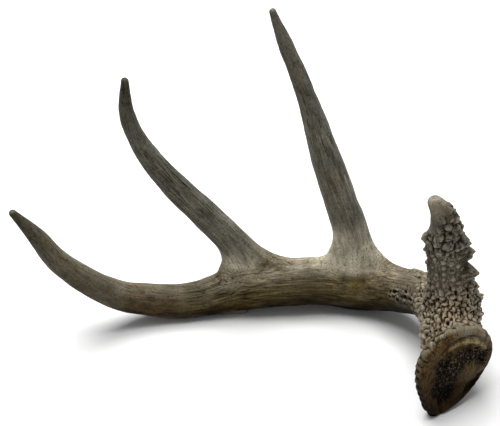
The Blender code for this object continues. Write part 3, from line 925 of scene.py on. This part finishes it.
# %% Keep the hollows and the grain
def keep(name, values):
    """Stores one number or one vector for each point of the antler."""
    vector = np.ndim(values) == 2
    kind = "FLOAT_VECTOR" if vector else "FLOAT"
    attribute = antler.data.attributes.new(name, kind, "POINT")
    attribute.data.foreach_set("vector" if vector else "value",
                               np.asarray(values, np.float32).ravel())


keep("beam_grain", beam_grain)
keep("tine_grain", tine_grain)
keep("tine_share", tine_share)
# how far each point faces up: painted light above and painted shade below, over bleaching and soil
keep("skyward", skin_gap(skin)[1][:, 2])
keep("rough", rough)
# Hollows, and the notches of the burr's edge, are darkened in the material with dirt and painted
# shade.
hollow *= (0.3 + 0.7 * np.maximum(rough, on_edge)) * (1 - 0.5 * apart_there * (1 - soft_there))
keep("hollow", np.maximum(hollow, (1.6 * notch).clip(0, 1) * (1 - pad_cover)))
keep("rubbed", rubbed * (1 - 0.5 * pad_cover))
keep("groove", groove)
keep("pit", (pit / 0.8).clip(0, 1))
print("attributes:", len(antler.data.attributes))

# %% [markdown]
# The next ones say what the weather did. The upright parts, the tines and the beam's own tip,
# turned grey. Tines are bleached more towards their tips, and the third one is bleached least.
# Streaks are strong along the beam as far as its upward bend, faint on the tines, strong again
# in a few scratched places, and weaker in a few calm ones. The burr is darker low down, from
# soil and painted shade.

# %% Keep the weathering
# Soft balls: the centre, reach and strength of each.
SCRATCHED = [((-40, 38, 104), 24, 1.1), ((-26, 38, 86), 18, 1.0), ((-56, 35, 120), 20, 1.0),
             ((46, 32, 142), 22, 1.0), ((56, 35, 112), 20, 1.1), ((62, 38, 88), 16, 0.9)]
CALM = [((67, 35, 33), 14, 0.7), ((40, 37, 28), 12, 0.3), ((-60, 30, 24), 20, 0.3)]
# Distances from the burr where the beam starts to grey, and where its streaks fade.
BEAM_GREYS, BEAM_STREAKS_FADE = (250, 340), (215, 300)
SOIL_AND_SHADE_HEIGHT = 50

keep("upright", np.maximum(tine_share, 0.5 - 0.5 * fade(beam_grain[:, 0], *BEAM_GREYS)))
up_tine = fade(tine_grain[:, 0], 30, 150)
on_third = tine_grain[:, 1] > 2.5 * TINES_APART
keep("bleached", np.where(on_third, 0.35 * up_tine, 0.45 + 0.45 * up_tine))
streaky = 0.4 + 0.6 * fade(beam_grain[:, 0], *BEAM_STREAKS_FADE) * (1 - tine_share)
streaky *= 1 - soft_balls(skin, CALM)
keep("streaky", np.maximum(streaky, soft_balls(skin, SCRATCHED)))
# the burr is darker towards its foot: soil and painted shade
keep("soil_and_shade", fade(skin[:, 2], 0, SOIL_AND_SHADE_HEIGHT) * fade(burr_gap(skin)[0], 1, 6))
print("attributes:", len(antler.data.attributes))

# %% [markdown]
# The last ones belong to the burr: its face and the forms in it, and a set of coordinates
# that run outwards and round it, for streaks that spread like the spokes of a wheel.

# %% Keep the burr's forms
keep("burr_face", on_face)
keep("sunken", sunken_there * on_face * (1 - 0.9 * bulge))
keep("bulge", bulge * on_face)
keep("moat", moat * on_face)
keep("ridge", inner_ridge / max(RIDGE_RISE) * on_face)
keep("burr_grain", np.column_stack([burr_reach / 7, 16 * np.cos(burr_angle),
                                    16 * np.sin(burr_angle)]))
print("attributes:", len(antler.data.attributes))

# %% [markdown]
# Some places have a colour of their own, such as the pale, clean bone in the fork of the
# second tine, which also carries painted light where the forks lie in shade. The light and
# shade patches are partly the bone's own tone and partly painted light and painted shade. All
# of them could be painted on an image. Here they are brushed on as soft balls too, with the
# centre, reach and strength of each, so they stay where they are on the bone.

# %% Patches of colour
PATCHES = {
    # pale, clean bone, and painted light where the forks lie in shade
    "pale": [((66, 38, 44), 26, 1.0), ((50, 42, 42), 22, 1.0), ((58, 40, 62), 15, 0.8),
             ((73, 37, 56), 11, 0.8), ((80, 40, 42), 20, 0.9), ((30, 45, 34), 16, 0.35),
             ((6, 44, 48), 14, 0.5), ((-13, 37.5, 42), 12, 0.4), ((0, 37, 40), 12, 0.5),
             ((12, 40, 37), 12, 0.4), ((-15, 42, 34), 16, 0.35), ((-95, 26, 32), 14, 0.3)],
    "tan": [((108, -34, 50), 26, 0.8), ((124, -40, 56), 24, 0.9), ((128, -30, 62), 16, 0.7),
            ((104, -58, 50), 12, 0.4), ((104, -38, 138), 14, 0.45), ((104, -4, 44), 18, 0.5)],
    "lip": [((129, -48, 53), 11, 0.8), ((138, -43, 48), 9, 0.6), ((120, -52, 56), 5, 0.15),
            ((144, -39, 41), 8, 0.5)],
    "green": [((-45, 40, 24), 24, 0.7), ((45, 36, 22), 22, 0.5), ((-20, 38, 60), 20, 0.5),
              ((68, 34, 25), 16, 0.6), ((60, 42, 90), 26, 0.5), ((-115, 16, 52), 26, 0.2),
              ((-94, 20, 34), 18, 0.35)],
    "red": [((90, 41, 39), 12, 0.9), ((-62, 30, 8), 22, 0.7), ((-78, 34, 26), 18, 0.7),
            ((52, 38, 108), 14, 0.6), ((28, 26, 190), 12, 0.5)],
    "dark": [((-55, 27, 8), 16, 0.8), ((-94, 20, 37), 10, 0.7), ((95, 14, 35), 10, 0.8),
             ((60, 34, 64), 6, 0.9), ((10, 17, 233), 22, 0.4), ((-76, 22, 180), 34, 0.9),
             ((-147, 0, 109), 22, 0.6), ((140, -15, 60), 14, 0.3), ((45, 34, 140), 20, 0.2),
             ((30, 28, 180), 16, 0.2)],
    # painted light, over bone that is paler there too
    "light": [((-15, 37.5, 42), 13, 0.24), ((-2, 37, 40), 14, 0.28), ((11, 40, 38), 12, 0.16),
              ((68, 35, 30), 8, 1.0), ((78, 35, 34), 9, 0.5), ((57, 39, 29), 9, 0.4),
              ((-82, 21, 17), 14, 0.15), ((-42, 28, 12), 12, 0.2), ((-1, 34, 9), 11, 1.0),
              ((25, 34, 20), 14, 0.25), ((47, 32, 148), 14, 0.16), ((61, 36, 106), 14, 0.16),
              ((74, 39, 71), 14, 0.28), ((79, 42, 56), 13, 0.2), ((-129, 7, 64), 19, 0.3),
              ((-118, 9, 51), 17, 0.15), ((-107, 13, 36), 13, 0.3), ((8, 34, 22), 15, 0.28),
              ((-10, 34, 6), 12, 0.9), ((66, 32, 24), 16, 0.25), ((90, 20, 31), 14, 0.12),
              ((120, -30, 58), 14, 0.6), ((132, -26, 58), 13, 0.5), ((135, -32, 55), 12, 0.35),
              ((103, -39, 139), 9, 0.16), ((117, -60, 5), 7, 0.6), ((109, -65, 11), 6, 0.2)],
    # painted shade, over bone that is darker there too
    "shade": [((-40, 39, 104), 15, 0.8), ((-28, 38, 87), 15, 0.7), ((-53, 37, 117), 15, 0.8),
              ((6, 45, 49), 16, 1.0), ((-74, 24, 178), 26, 0.75), ((-75, 19, 190), 5, 0.9),
              ((-94, 20, 37), 14, 1.0), ((107, -42, 48), 12, 0.5), ((-142, 2, 101), 18, 0.6),
              ((100, 6, 28), 12, 0.7), ((137, -22, 62), 14, 0.7), ((64, 44, 75), 12, 0.4),
              ((101, -28, 100), 12, 0.3), ((104, -24, 85), 12, 0.45), ((-81, 26, 31), 13, 0.5),
              ((-69, 31, 26), 14, 0.5), ((-56, 34, 24), 14, 0.7), ((-42, 36, 23), 14, 0.9),
              ((38, 42, 35), 11, 0.8), ((92, 40, 39), 11, 0.7), ((113, -36, 118), 20, 0.55),
              ((112, -36, 130), 9, 0.6), ((117, -34, 101), 16, 0.1), ((135, -20, 100), 16, 0.5),
              ((135, -18, 80), 16, 0.4), ((104, -20, 100), 14, 0.9), ((115, -27, 72), 11, 0.35),
              ((110, -27, 84), 12, 0.4), ((106, -17, 70), 8, 0.9), ((128, -26, 79), 10, 0.7),
              ((132, -24, 71), 9, 0.8), ((101, -26, 106), 8, 0.6), ((118, -34, 119), 8, 0.75),
              ((119, -31, 109), 7, 0.4), ((102, 2, 33), 9, 0.8), ((99, 10, 30), 8, 0.5),
              ((116, -55, 46), 6, 0.5)],
}
print("balls of colour:", sum(len(places) for places in PATCHES.values()))

# %% [markdown]
# Not every patch ends softly. The pale bone stops at the shoulder of the beam, the lip's
# colour keeps to the edge of the face, and on the burr's rim the tan is mostly left to the
# pads. The two sides of the brow tine get painted shade as well, wherever it has beads.

# %% Brush the patches on
on_rim = fade(np.abs(above - 1), 3, 5)
# painted shade on the two sides of the brow tine
brow_side_shade = (1 - fade(np.abs(outward[:, 0]), 0.6, 0.95)) * (1 - fade(up_brow, 0, 14))
kept_to = {"pale": 1 - under_shoulder, "lip": 1 - fade(edge_reach, -6.5, -4.5),
           "tan": 1 - 0.75 * on_rim * (1 - 0.7 * pad_cover)}

for name, places in PATCHES.items():
    amount = soft_balls(skin, places) * kept_to.get(name, 1)
    if name == "shade":
        amount = np.maximum(amount, 0.7 * beaded * brow_side_shade)
    keep(name, amount)
    print(name, "covers", int((amount > 0.3).sum()), "points")

# %% [markdown]
# The piece is smooth shaded, rides with the one body of the model and stands for all six
# sawn solids. Its object stays at the origin, with its place in its mesh.

# %% Put the antler in place
antler.data.shade_smooth()
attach(antler, "root")
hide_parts(*frame["nodes"])
triangles = sum(len(face.vertices) - 2 for face in antler.data.polygons)
print("triangles:", triangles)

# %% [markdown]
# ## Writing a material as sums
# A material is a tree of nodes, and long sums are hard to read as a tree. The small class
# below wraps one socket. Adding or multiplying two wrapped sockets adds the Math node for it,
# and any other node comes from its one method.

# %% A socket with arithmetic
class Shade:
    """One output of a material's node tree, which can be added to, multiplied and mixed."""

    def __init__(self, tree, socket=None):
        self.tree, self.socket = tree, socket

    def node(self, kind, settings=None, inputs=None, output=0):
        """Adds a node of any type: first its settings, then values or links."""
        made = self.tree.nodes.new("ShaderNode" + kind)
        for name, value in (settings or {}).items():
            setattr(made, name, value)
        for name, value in (inputs or {}).items():
            if isinstance(value, Shade):
                self.tree.links.new(value.socket, made.inputs[name])
            else:
                made.inputs[name].default_value = value
        return Shade(self.tree, made.outputs[output])

    def math(self, operation, *values):
        """Adds a Math node for an operation on some values."""
        return self.node("Math", {"operation": operation}, dict(enumerate(values)))

    def __add__(self, other):
        return self.math("ADD", self, other)

    def __sub__(self, other):
        return self.math("SUBTRACT", self, other)

    def __rsub__(self, other):
        return self.math("SUBTRACT", other, self)

    def __mul__(self, other):
        return self.math("MULTIPLY", self, other)

    __radd__, __rmul__ = __add__, __mul__

    def between(self, low, high):
        """0 at low, 1 at high, a smooth step between and flat beyond. Low may be the larger."""
        return self.node("MapRange", {"interpolation_type": "SMOOTHSTEP"},
                         {"Value": self, "From Min": low, "From Max": high})

    def blend(self, other, share):
        """This value changed to the other by a share."""
        return self * (1 - share) + other * share

    def tint(self, colour, share, how="MIX"):
        """This colour changed towards another colour by a share."""
        other = colour if isinstance(colour, Shade) else (*colour, 1.0)
        return self.node("Mix", {"data_type": "RGBA", "blend_type": how},
                         {0: share, 6: self, 7: other}, output=2)

    def stain(self, factors, share):
        """This colour multiplied by three factors, by a share: below 1 darkens, above bleaches."""
        return self.tint(factors, share, how="MULTIPLY")

    def ramp(self, stops):
        """The colour at this value, on a ramp from 0 to 1."""
        made = self.node("ValToRGB", inputs={"Fac": self})
        row = made.socket.node.color_ramp.elements
        while len(row) < len(stops):
            row.new(1.0)
        for element, (place, colour) in zip(row, stops):
            element.position, element.color = place, (*colour, 1.0)
        return made


bone = bpy.data.materials.new("weathered_bone")
bone.use_nodes = True
shader = bone.node_tree.nodes["Principled BSDF"]
start = Shade(bone.node_tree)


def feed(name, value):
    """Links a wrapped value to one of the shader's sockets."""
    start.tree.links.new(value.socket, shader.inputs[name])


print("empty material:", bone.name)

# %% [markdown]
# ## Weathered bone
# The patterns come first. Bone has a grain that runs along each branch, so the noise reads
# the straightened coordinates, squeezed lengthwise. It is worked out twice, along the beam
# and along the tine, and the two are mixed at the fork.

# %% Patterns along the grain
def stored(name, vector=False):
    """A measure that was kept on the mesh."""
    return start.node("Attribute", {"attribute_name": name}, output=1 if vector else 2)


def grained(length, width, detail=2.0, seed=0.0):
    """Noise in spots of this length along the bone and width across it, from 0 to 1."""
    found = []
    for name in ("beam_grain", "tine_grain"):
        place = start.node("Mapping", inputs={
            "Vector": stored(name, vector=True), "Location": (seed, seed, seed),
            "Scale": (1 / length, 1 / width, 1 / width)})
        found.append(start.node("TexNoise", inputs={
            "Vector": place, "Scale": 1.0, "Detail": detail, "Roughness": 0.5}))
    return found[0].blend(found[1], stored("tine_share"))


def mottled(size, detail=3.0, seed=0.0):
    """Noise in round spots of about this size in millimetres, from 0 to 1."""
    place = start.node("TexCoord", output=3)
    place = start.node("Mapping", inputs={"Vector": place, "Location": (seed, seed, seed),
                                          "Scale": (1 / MM,) * 3})
    return start.node("TexNoise", inputs={
        "Vector": place, "Scale": 1 / size, "Detail": detail, "Roughness": 0.55})


long_streaks = grained(52, 2.8, detail=3.0, seed=5)
fine_streaks = grained(19, 0.85, detail=2.5, seed=17)
blotches = grained(11, 5, detail=3.0, seed=44)
short_cracks = grained(8, 0.8, detail=2.0, seed=31)
clouds = mottled(26, seed=2)
spots = mottled(4.5, seed=9)
flecks = mottled(1.3, detail=2.0, seed=21)
grains = mottled(0.75, detail=2.0, seed=33)
print("patterns:", len(bone.node_tree.nodes), "nodes so far")

# %% [markdown]
# The colour is laid on in layers, from the ground tone to the details. The ground follows how
# far the bone faces the sky: nearly black below, brown on the flanks and pale above. This is
# partly soil and bleaching, and partly painted shade below and painted light above. The tines
# stood up in the air and are greyer. A Color Ramp holds each of the two.

# %% Ground colours of the bone
MOSSY, RUSTY, DARK_STAIN = (0.085, 0.078, 0.030), (0.130, 0.070, 0.036), (0.030, 0.024, 0.016)
CLEAN_BONE = (0.600, 0.555, 0.435)

rough_end = stored("rough")
# painted light and shade: lighter where the bone faces up, darker where it faces down
lit = stored("skyward") * 0.5 + 0.5 + (clouds - 0.5) * 0.14 + (blotches - 0.5) * 0.10

brown = lit.ramp([(0.18, (0.0035, 0.0022, 0.0006)), (0.39, (0.0190, 0.0125, 0.0036)),
                  (0.51, (0.039, 0.029, 0.0108)), (0.64, (0.061, 0.047, 0.0215)),
                  (0.77, (0.080, 0.065, 0.040)), (0.89, (0.108, 0.092, 0.064)),
                  (1.0, (0.165, 0.146, 0.108))])
grey = lit.ramp([(0.18, (0.045, 0.040, 0.028)), (0.45, (0.094, 0.089, 0.070)),
                 (0.65, (0.105, 0.102, 0.083)), (1.0, (0.151, 0.151, 0.124))])
on_tine = (stored("upright") + (blotches - 0.5) * 0.5).between(0.1, 0.9)
colour = brown.tint(grey, on_tine)
colour = colour.stain((1.45, 1.46, 1.52), stored("bleached") * on_tine)
colour = colour.tint(MOSSY, stored("green") * clouds.between(0.35, 0.65) * 0.6)
colour = colour.tint(RUSTY, stored("red") * spots.between(0.42, 0.60) * 0.7)
colour = colour.tint(DARK_STAIN, stored("dark") * spots.between(0.35, 0.6) * 0.7)
colour = colour.tint(CLEAN_BONE, stored("pale") * (clouds * 0.5 + 0.6))
print("ground colours:", len(bone.node_tree.nodes), "nodes so far")

# %% [markdown]
# Streaks and blotches come next. They are multiplied in, so they show on dark and on pale
# bone alike: factors below one stain it, and factors above one bleach it. A few short cracks
# are nearly black, tiny dark pores lie all over the smooth bone, and the pale fork is flecked
# with small brown spots as well.

# %% Streaks, cracks and pores
BROWN_SPOT = (0.16, 0.115, 0.065)

colour = colour.stain((0.50, 0.46, 0.38), blotches.between(0.52, 0.66) * 0.55)
colour = colour.stain((1.40, 1.38, 1.32), blotches.between(0.47, 0.34) * 0.45)
streaky = stored("streaky") * (1 - stored("pale") * 0.75)
here_and_there = (clouds.between(0.35, 0.62) * 0.6 + 0.5) * streaky
colour = colour.stain((0.50, 0.45, 0.37), long_streaks.between(0.54, 0.64) * streaky * 0.9)
colour = colour.stain((1.45, 1.42, 1.36), long_streaks.between(0.45, 0.34) * streaky * 0.8)
colour = colour.stain((0.32, 0.28, 0.21), fine_streaks.between(0.53, 0.64) * here_and_there)
colour = colour.stain((1.75, 1.72, 1.62), fine_streaks.between(0.46, 0.35) * streaky * 0.9)
colour = colour.stain((0.60, 0.55, 0.46), flecks.between(0.54, 0.64) * 0.6)
colour = colour.stain((1.40, 1.36, 1.28), flecks.between(0.44, 0.34) * 0.4)
colour = colour.stain((0.55, 0.50, 0.42), stored("pale") * grains.between(0.52, 0.60) * 0.8)
colour = colour.tint(BROWN_SPOT, stored("pale") * spots.between(0.52, 0.66) * 0.45)
cracks = short_cracks.between(0.60, 0.70) * clouds.between(0.38, 0.6)
colour = colour.stain((0.14, 0.11, 0.08), cracks * 0.9)
# painted shade along the groove
colour = colour.stain((0.30, 0.26, 0.20), stored("groove").between(0.1, 0.5) * 0.55)
on_face = stored("burr_face")
pores = flecks.between(0.64, 0.69) * (1 - rough_end) * (1 - on_face)
colour = colour.stain((0.40, 0.33, 0.25), pores * 0.55)
print("streaks:", len(bone.node_tree.nodes), "nodes so far")

# %% [markdown]
# The rough end has a finish of its own. Its bone is greyer than the beam's, tan around the
# burr, and unevenly stained. A second material could hold this, but one that is mixed by a
# measure has no hard border where the beads run out.

# %% Colour of the rough end
BEADED_BONE, TAN_BONE = (0.100, 0.090, 0.070), (0.230, 0.177, 0.118)

colour = colour.tint(BEADED_BONE, rough_end * 0.7)
colour = colour.tint(TAN_BONE, stored("tan") * 0.8)
colour = colour.stain((0.50, 0.46, 0.40), rough_end * spots.between(0.46, 0.62) * 0.7)
colour = colour.stain((0.60, 0.57, 0.52), rough_end * clouds.between(0.44, 0.58) * 0.6)
print("rough end:", len(bone.node_tree.nodes), "nodes so far")

# %% [markdown]
# The burr's face is brown, with faint streaks that run outwards, spots, and a pale lip along
# its upper edge. The bulges are lighter, and the inner ridge is rubbed pale. A Wave texture
# could give rings, but the real streaks are spokes, so the noise reads the coordinates that
# run round the burr.

# %% Colour of the burr's face
FACE_BROWN, PALE_LIP = (0.080, 0.047, 0.014), (0.235, 0.210, 0.162)
BULGE_BROWN = (0.185, 0.135, 0.063)

face_grit = on_face * (1 - stored("lip") * 0.85)
face_streaks = start.node("TexNoise", inputs={
    "Vector": stored("burr_grain", vector=True), "Scale": 1.0, "Detail": 3.0})
colour = colour.tint(FACE_BROWN, on_face * 0.95)
colour = colour.tint(PALE_LIP, stored("lip") * 0.9)
colour = colour.stain((0.45, 0.36, 0.25), on_face * face_streaks.between(0.50, 0.64) * 0.35)
colour = colour.stain((1.5, 1.5, 1.4), on_face * face_streaks.between(0.46, 0.34) * 0.25)
colour = colour.stain((0.40, 0.33, 0.22), face_grit * flecks.between(0.50, 0.62) * 0.5)
colour = colour.stain((1.8, 1.7, 1.5), face_grit * flecks.between(0.46, 0.34) * 0.35)
colour = colour.stain((0.40, 0.32, 0.20), face_grit * spots.between(0.48, 0.60) * 0.85)
colour = colour.tint(BULGE_BROWN, stored("bulge") * 0.8)
# painted shade in the moat
colour = colour.stain((0.72, 0.70, 0.78), stored("moat"))
colour = colour.stain((3.5, 4.7, 7.1), stored("ridge") * 0.9)
print("burr's face:", len(bone.node_tree.nodes), "nodes so far")

# %% [markdown]
# Grit lies over the rough end and the face alike. Then come the things that make old beads
# look old: their tops are rubbed pale, and the hollows and pits between them are darkened with
# dirt and painted shade.

# %% Grit, rubbed tops and old dirt
RUBBED_BONE = (0.380, 0.325, 0.240)
HOLLOW_DIRT_AND_SHADE, PIT_DIRT_AND_SHADE = (0.013, 0.009, 0.006), (0.008, 0.005, 0.003)

hollow = stored("hollow")
gritty = face_grit * 0.8 + rough_end * 0.8
colour = colour.stain((0.24, 0.20, 0.15), gritty * grains.between(0.53, 0.60) * 0.8)
colour = colour.stain((2.2, 2.1, 1.95), gritty * grains.between(0.47, 0.39) * 0.7)
colour = colour.tint(RUBBED_BONE, stored("rubbed") * (0.12 + rough_end * 0.44))
# dirt and painted shade in the hollows and pits
colour = colour.tint(HOLLOW_DIRT_AND_SHADE, hollow.between(0.30, 0.95) * 0.94)
colour = colour.tint(PIT_DIRT_AND_SHADE, stored("pit").between(0.2, 0.9) * 0.92)
print("dirt:", len(bone.node_tree.nodes), "nodes so far")

# %% [markdown]
# The sunken middle of the face is nearly black, with grey specks of bone. Its outline is
# ragged, because noise is added before it is cut off. The last layers bleach the places that
# were brushed with light and darken those brushed with shade, which is partly the bone's own
# tone and partly painted light and painted shade. They also darken the burr towards its foot,
# with soil and painted shade.

# %% The sunken middle and the last layers
SPONGE_BLACK, SPECK_GREY = (0.006, 0.004, 0.002), (0.150, 0.125, 0.090)

pitted = (stored("sunken") + (spots - 0.5) * 0.8).between(0.22, 0.72)
colour = colour.tint(SPONGE_BLACK, pitted * (1 - flecks.between(0.46, 0.62) * 0.15))
specks = (flecks * 0.7 + grains * 0.3).between(0.54, 0.59)
colour = colour.tint(SPECK_GREY, pitted * specks * 0.75)
# painted light and painted shade, brushed on in patches, over the bone's own tone
colour = colour.stain((3.0, 2.96, 2.8), stored("light"))
colour = colour.stain((0.5, 0.5, 0.48), stored("shade"))
# the burr darker towards its foot: soil and painted shade
colour = colour.stain((0.16, 0.12, 0.07), stored("soil_and_shade") * (clouds * 0.3 + 0.95))
feed("Base Color", colour)
print("finished colours:", len(bone.node_tree.nodes), "nodes so far")

# %% [markdown]
# Bone that is rubbed has a soft sheen, while cracked and dirty bone is dull. The rubbed tops of
# the beads get a thin coat too, which glints a little under the lamp. The finest relief, finer
# than the mesh, is left to a Bump node, which bends the light and not the surface: hair-thin
# furrows, pores and grit.

# %% Sheen and fine relief
dull = 0.50 + rough_end * 0.16 + hollow * 0.2 + (spots - 0.5) * 0.25 + pitted * 0.2
feed("Roughness", dull)
feed("Coat Weight", stored("rubbed") * rough_end * 0.4)
shader.inputs["Coat Roughness"].default_value = 0.28
shader.inputs["Specular IOR Level"].default_value = 0.03
fine_relief = (fine_streaks * 0.28 + long_streaks * 0.18 - cracks * 0.45
               + flecks * (0.12 + rough_end * 0.20 + pitted * 0.8) + spots * rough_end * 0.35
               + grains * gritty * 0.3 + face_streaks * on_face * 0.05)
feed("Normal", start.node("Bump", inputs={
    "Height": fine_relief, "Strength": 0.9, "Distance": 0.9 * MM}))
antler.data.materials.clear()
antler.data.materials.append(bone)
print("the whole material:", len(bone.node_tree.nodes), "nodes")

# %% [markdown]
# ## The floor, the light and the camera
# The antler lies on a plain pale floor under soft light from above. A sun lamp would draw hard
# shadows. A wide square lamp overhead gives soft ones, and the pale sky around fills them.

# %% Floor and lights
FLOOR_HALF = 6.0  # half the length of its sides, in metres

scene = bpy.context.scene
floor_form = bmesh.new()
bmesh.ops.create_grid(floor_form, x_segments=1, y_segments=1, size=FLOOR_HALF)
floor = bpy.data.objects.new("floor", bpy.data.meshes.new("floor"))
floor_form.to_mesh(floor.data)
floor_form.free()
scene.collection.objects.link(floor)

paper = bpy.data.materials.new("pale_floor")
paper.use_nodes = True
paper_shader = paper.node_tree.nodes["Principled BSDF"]
paper_shader.inputs["Base Color"].default_value = (0.72, 0.72, 0.72, 1)
paper_shader.inputs["Roughness"].default_value = 0.9
floor.data.materials.append(paper)

sky = bpy.data.worlds.new("soft_sky")
sky.use_nodes = True
sky_light = sky.node_tree.nodes["Background"]
sky_light.inputs["Color"].default_value = (1, 1, 1, 1)
sky_light.inputs["Strength"].default_value = 0.34
scene.world = sky


def soft_lamp(name, place, target, size, watts):
    """A square lamp that looks at a target."""
    lamp = bpy.data.lights.new(name, "AREA")
    lamp.shape, lamp.size, lamp.energy = "SQUARE", size, watts
    holder = bpy.data.objects.new(name, lamp)
    holder.location = place
    holder.rotation_euler = (Vector(target) - Vector(place)).to_track_quat("-Z", "Y").to_euler()
    scene.collection.objects.link(holder)


soft_lamp("overhead", place=(-0.15, 0.28, 1.3), target=(0, 0, 0), size=1.2, watts=38)
scene.view_settings.view_transform = "Standard"

# %% [markdown]
# The camera stands in front of the antler, 750 millimetres away, and looks down at it by 33
# degrees through a long lens, which hardly bends the perspective. A short lens nearer by would
# make the burr look far too large beside the tines.

# %% Camera
TARGET = Vector((-2, 51, 75)) * MM
ELEVATION = math.radians(33)
CAMERA_DISTANCE = 750 * MM
FOCAL_PIXELS = 1136.4
PICTURE_WIDTH = 500

lens = bpy.data.cameras.new("camera")
lens.sensor_width = 36
lens.lens = FOCAL_PIXELS / PICTURE_WIDTH * lens.sensor_width
lens.clip_start = 0.01
camera = bpy.data.objects.new("camera", lens)
camera.location = TARGET + CAMERA_DISTANCE * Vector((0, -math.cos(ELEVATION),
                                                     math.sin(ELEVATION)))
camera.rotation_euler = (math.pi / 2 - ELEVATION, 0, 0)
scene.collection.objects.link(camera)
scene.camera = camera
print("lens, mm:", round(lens.lens, 1))
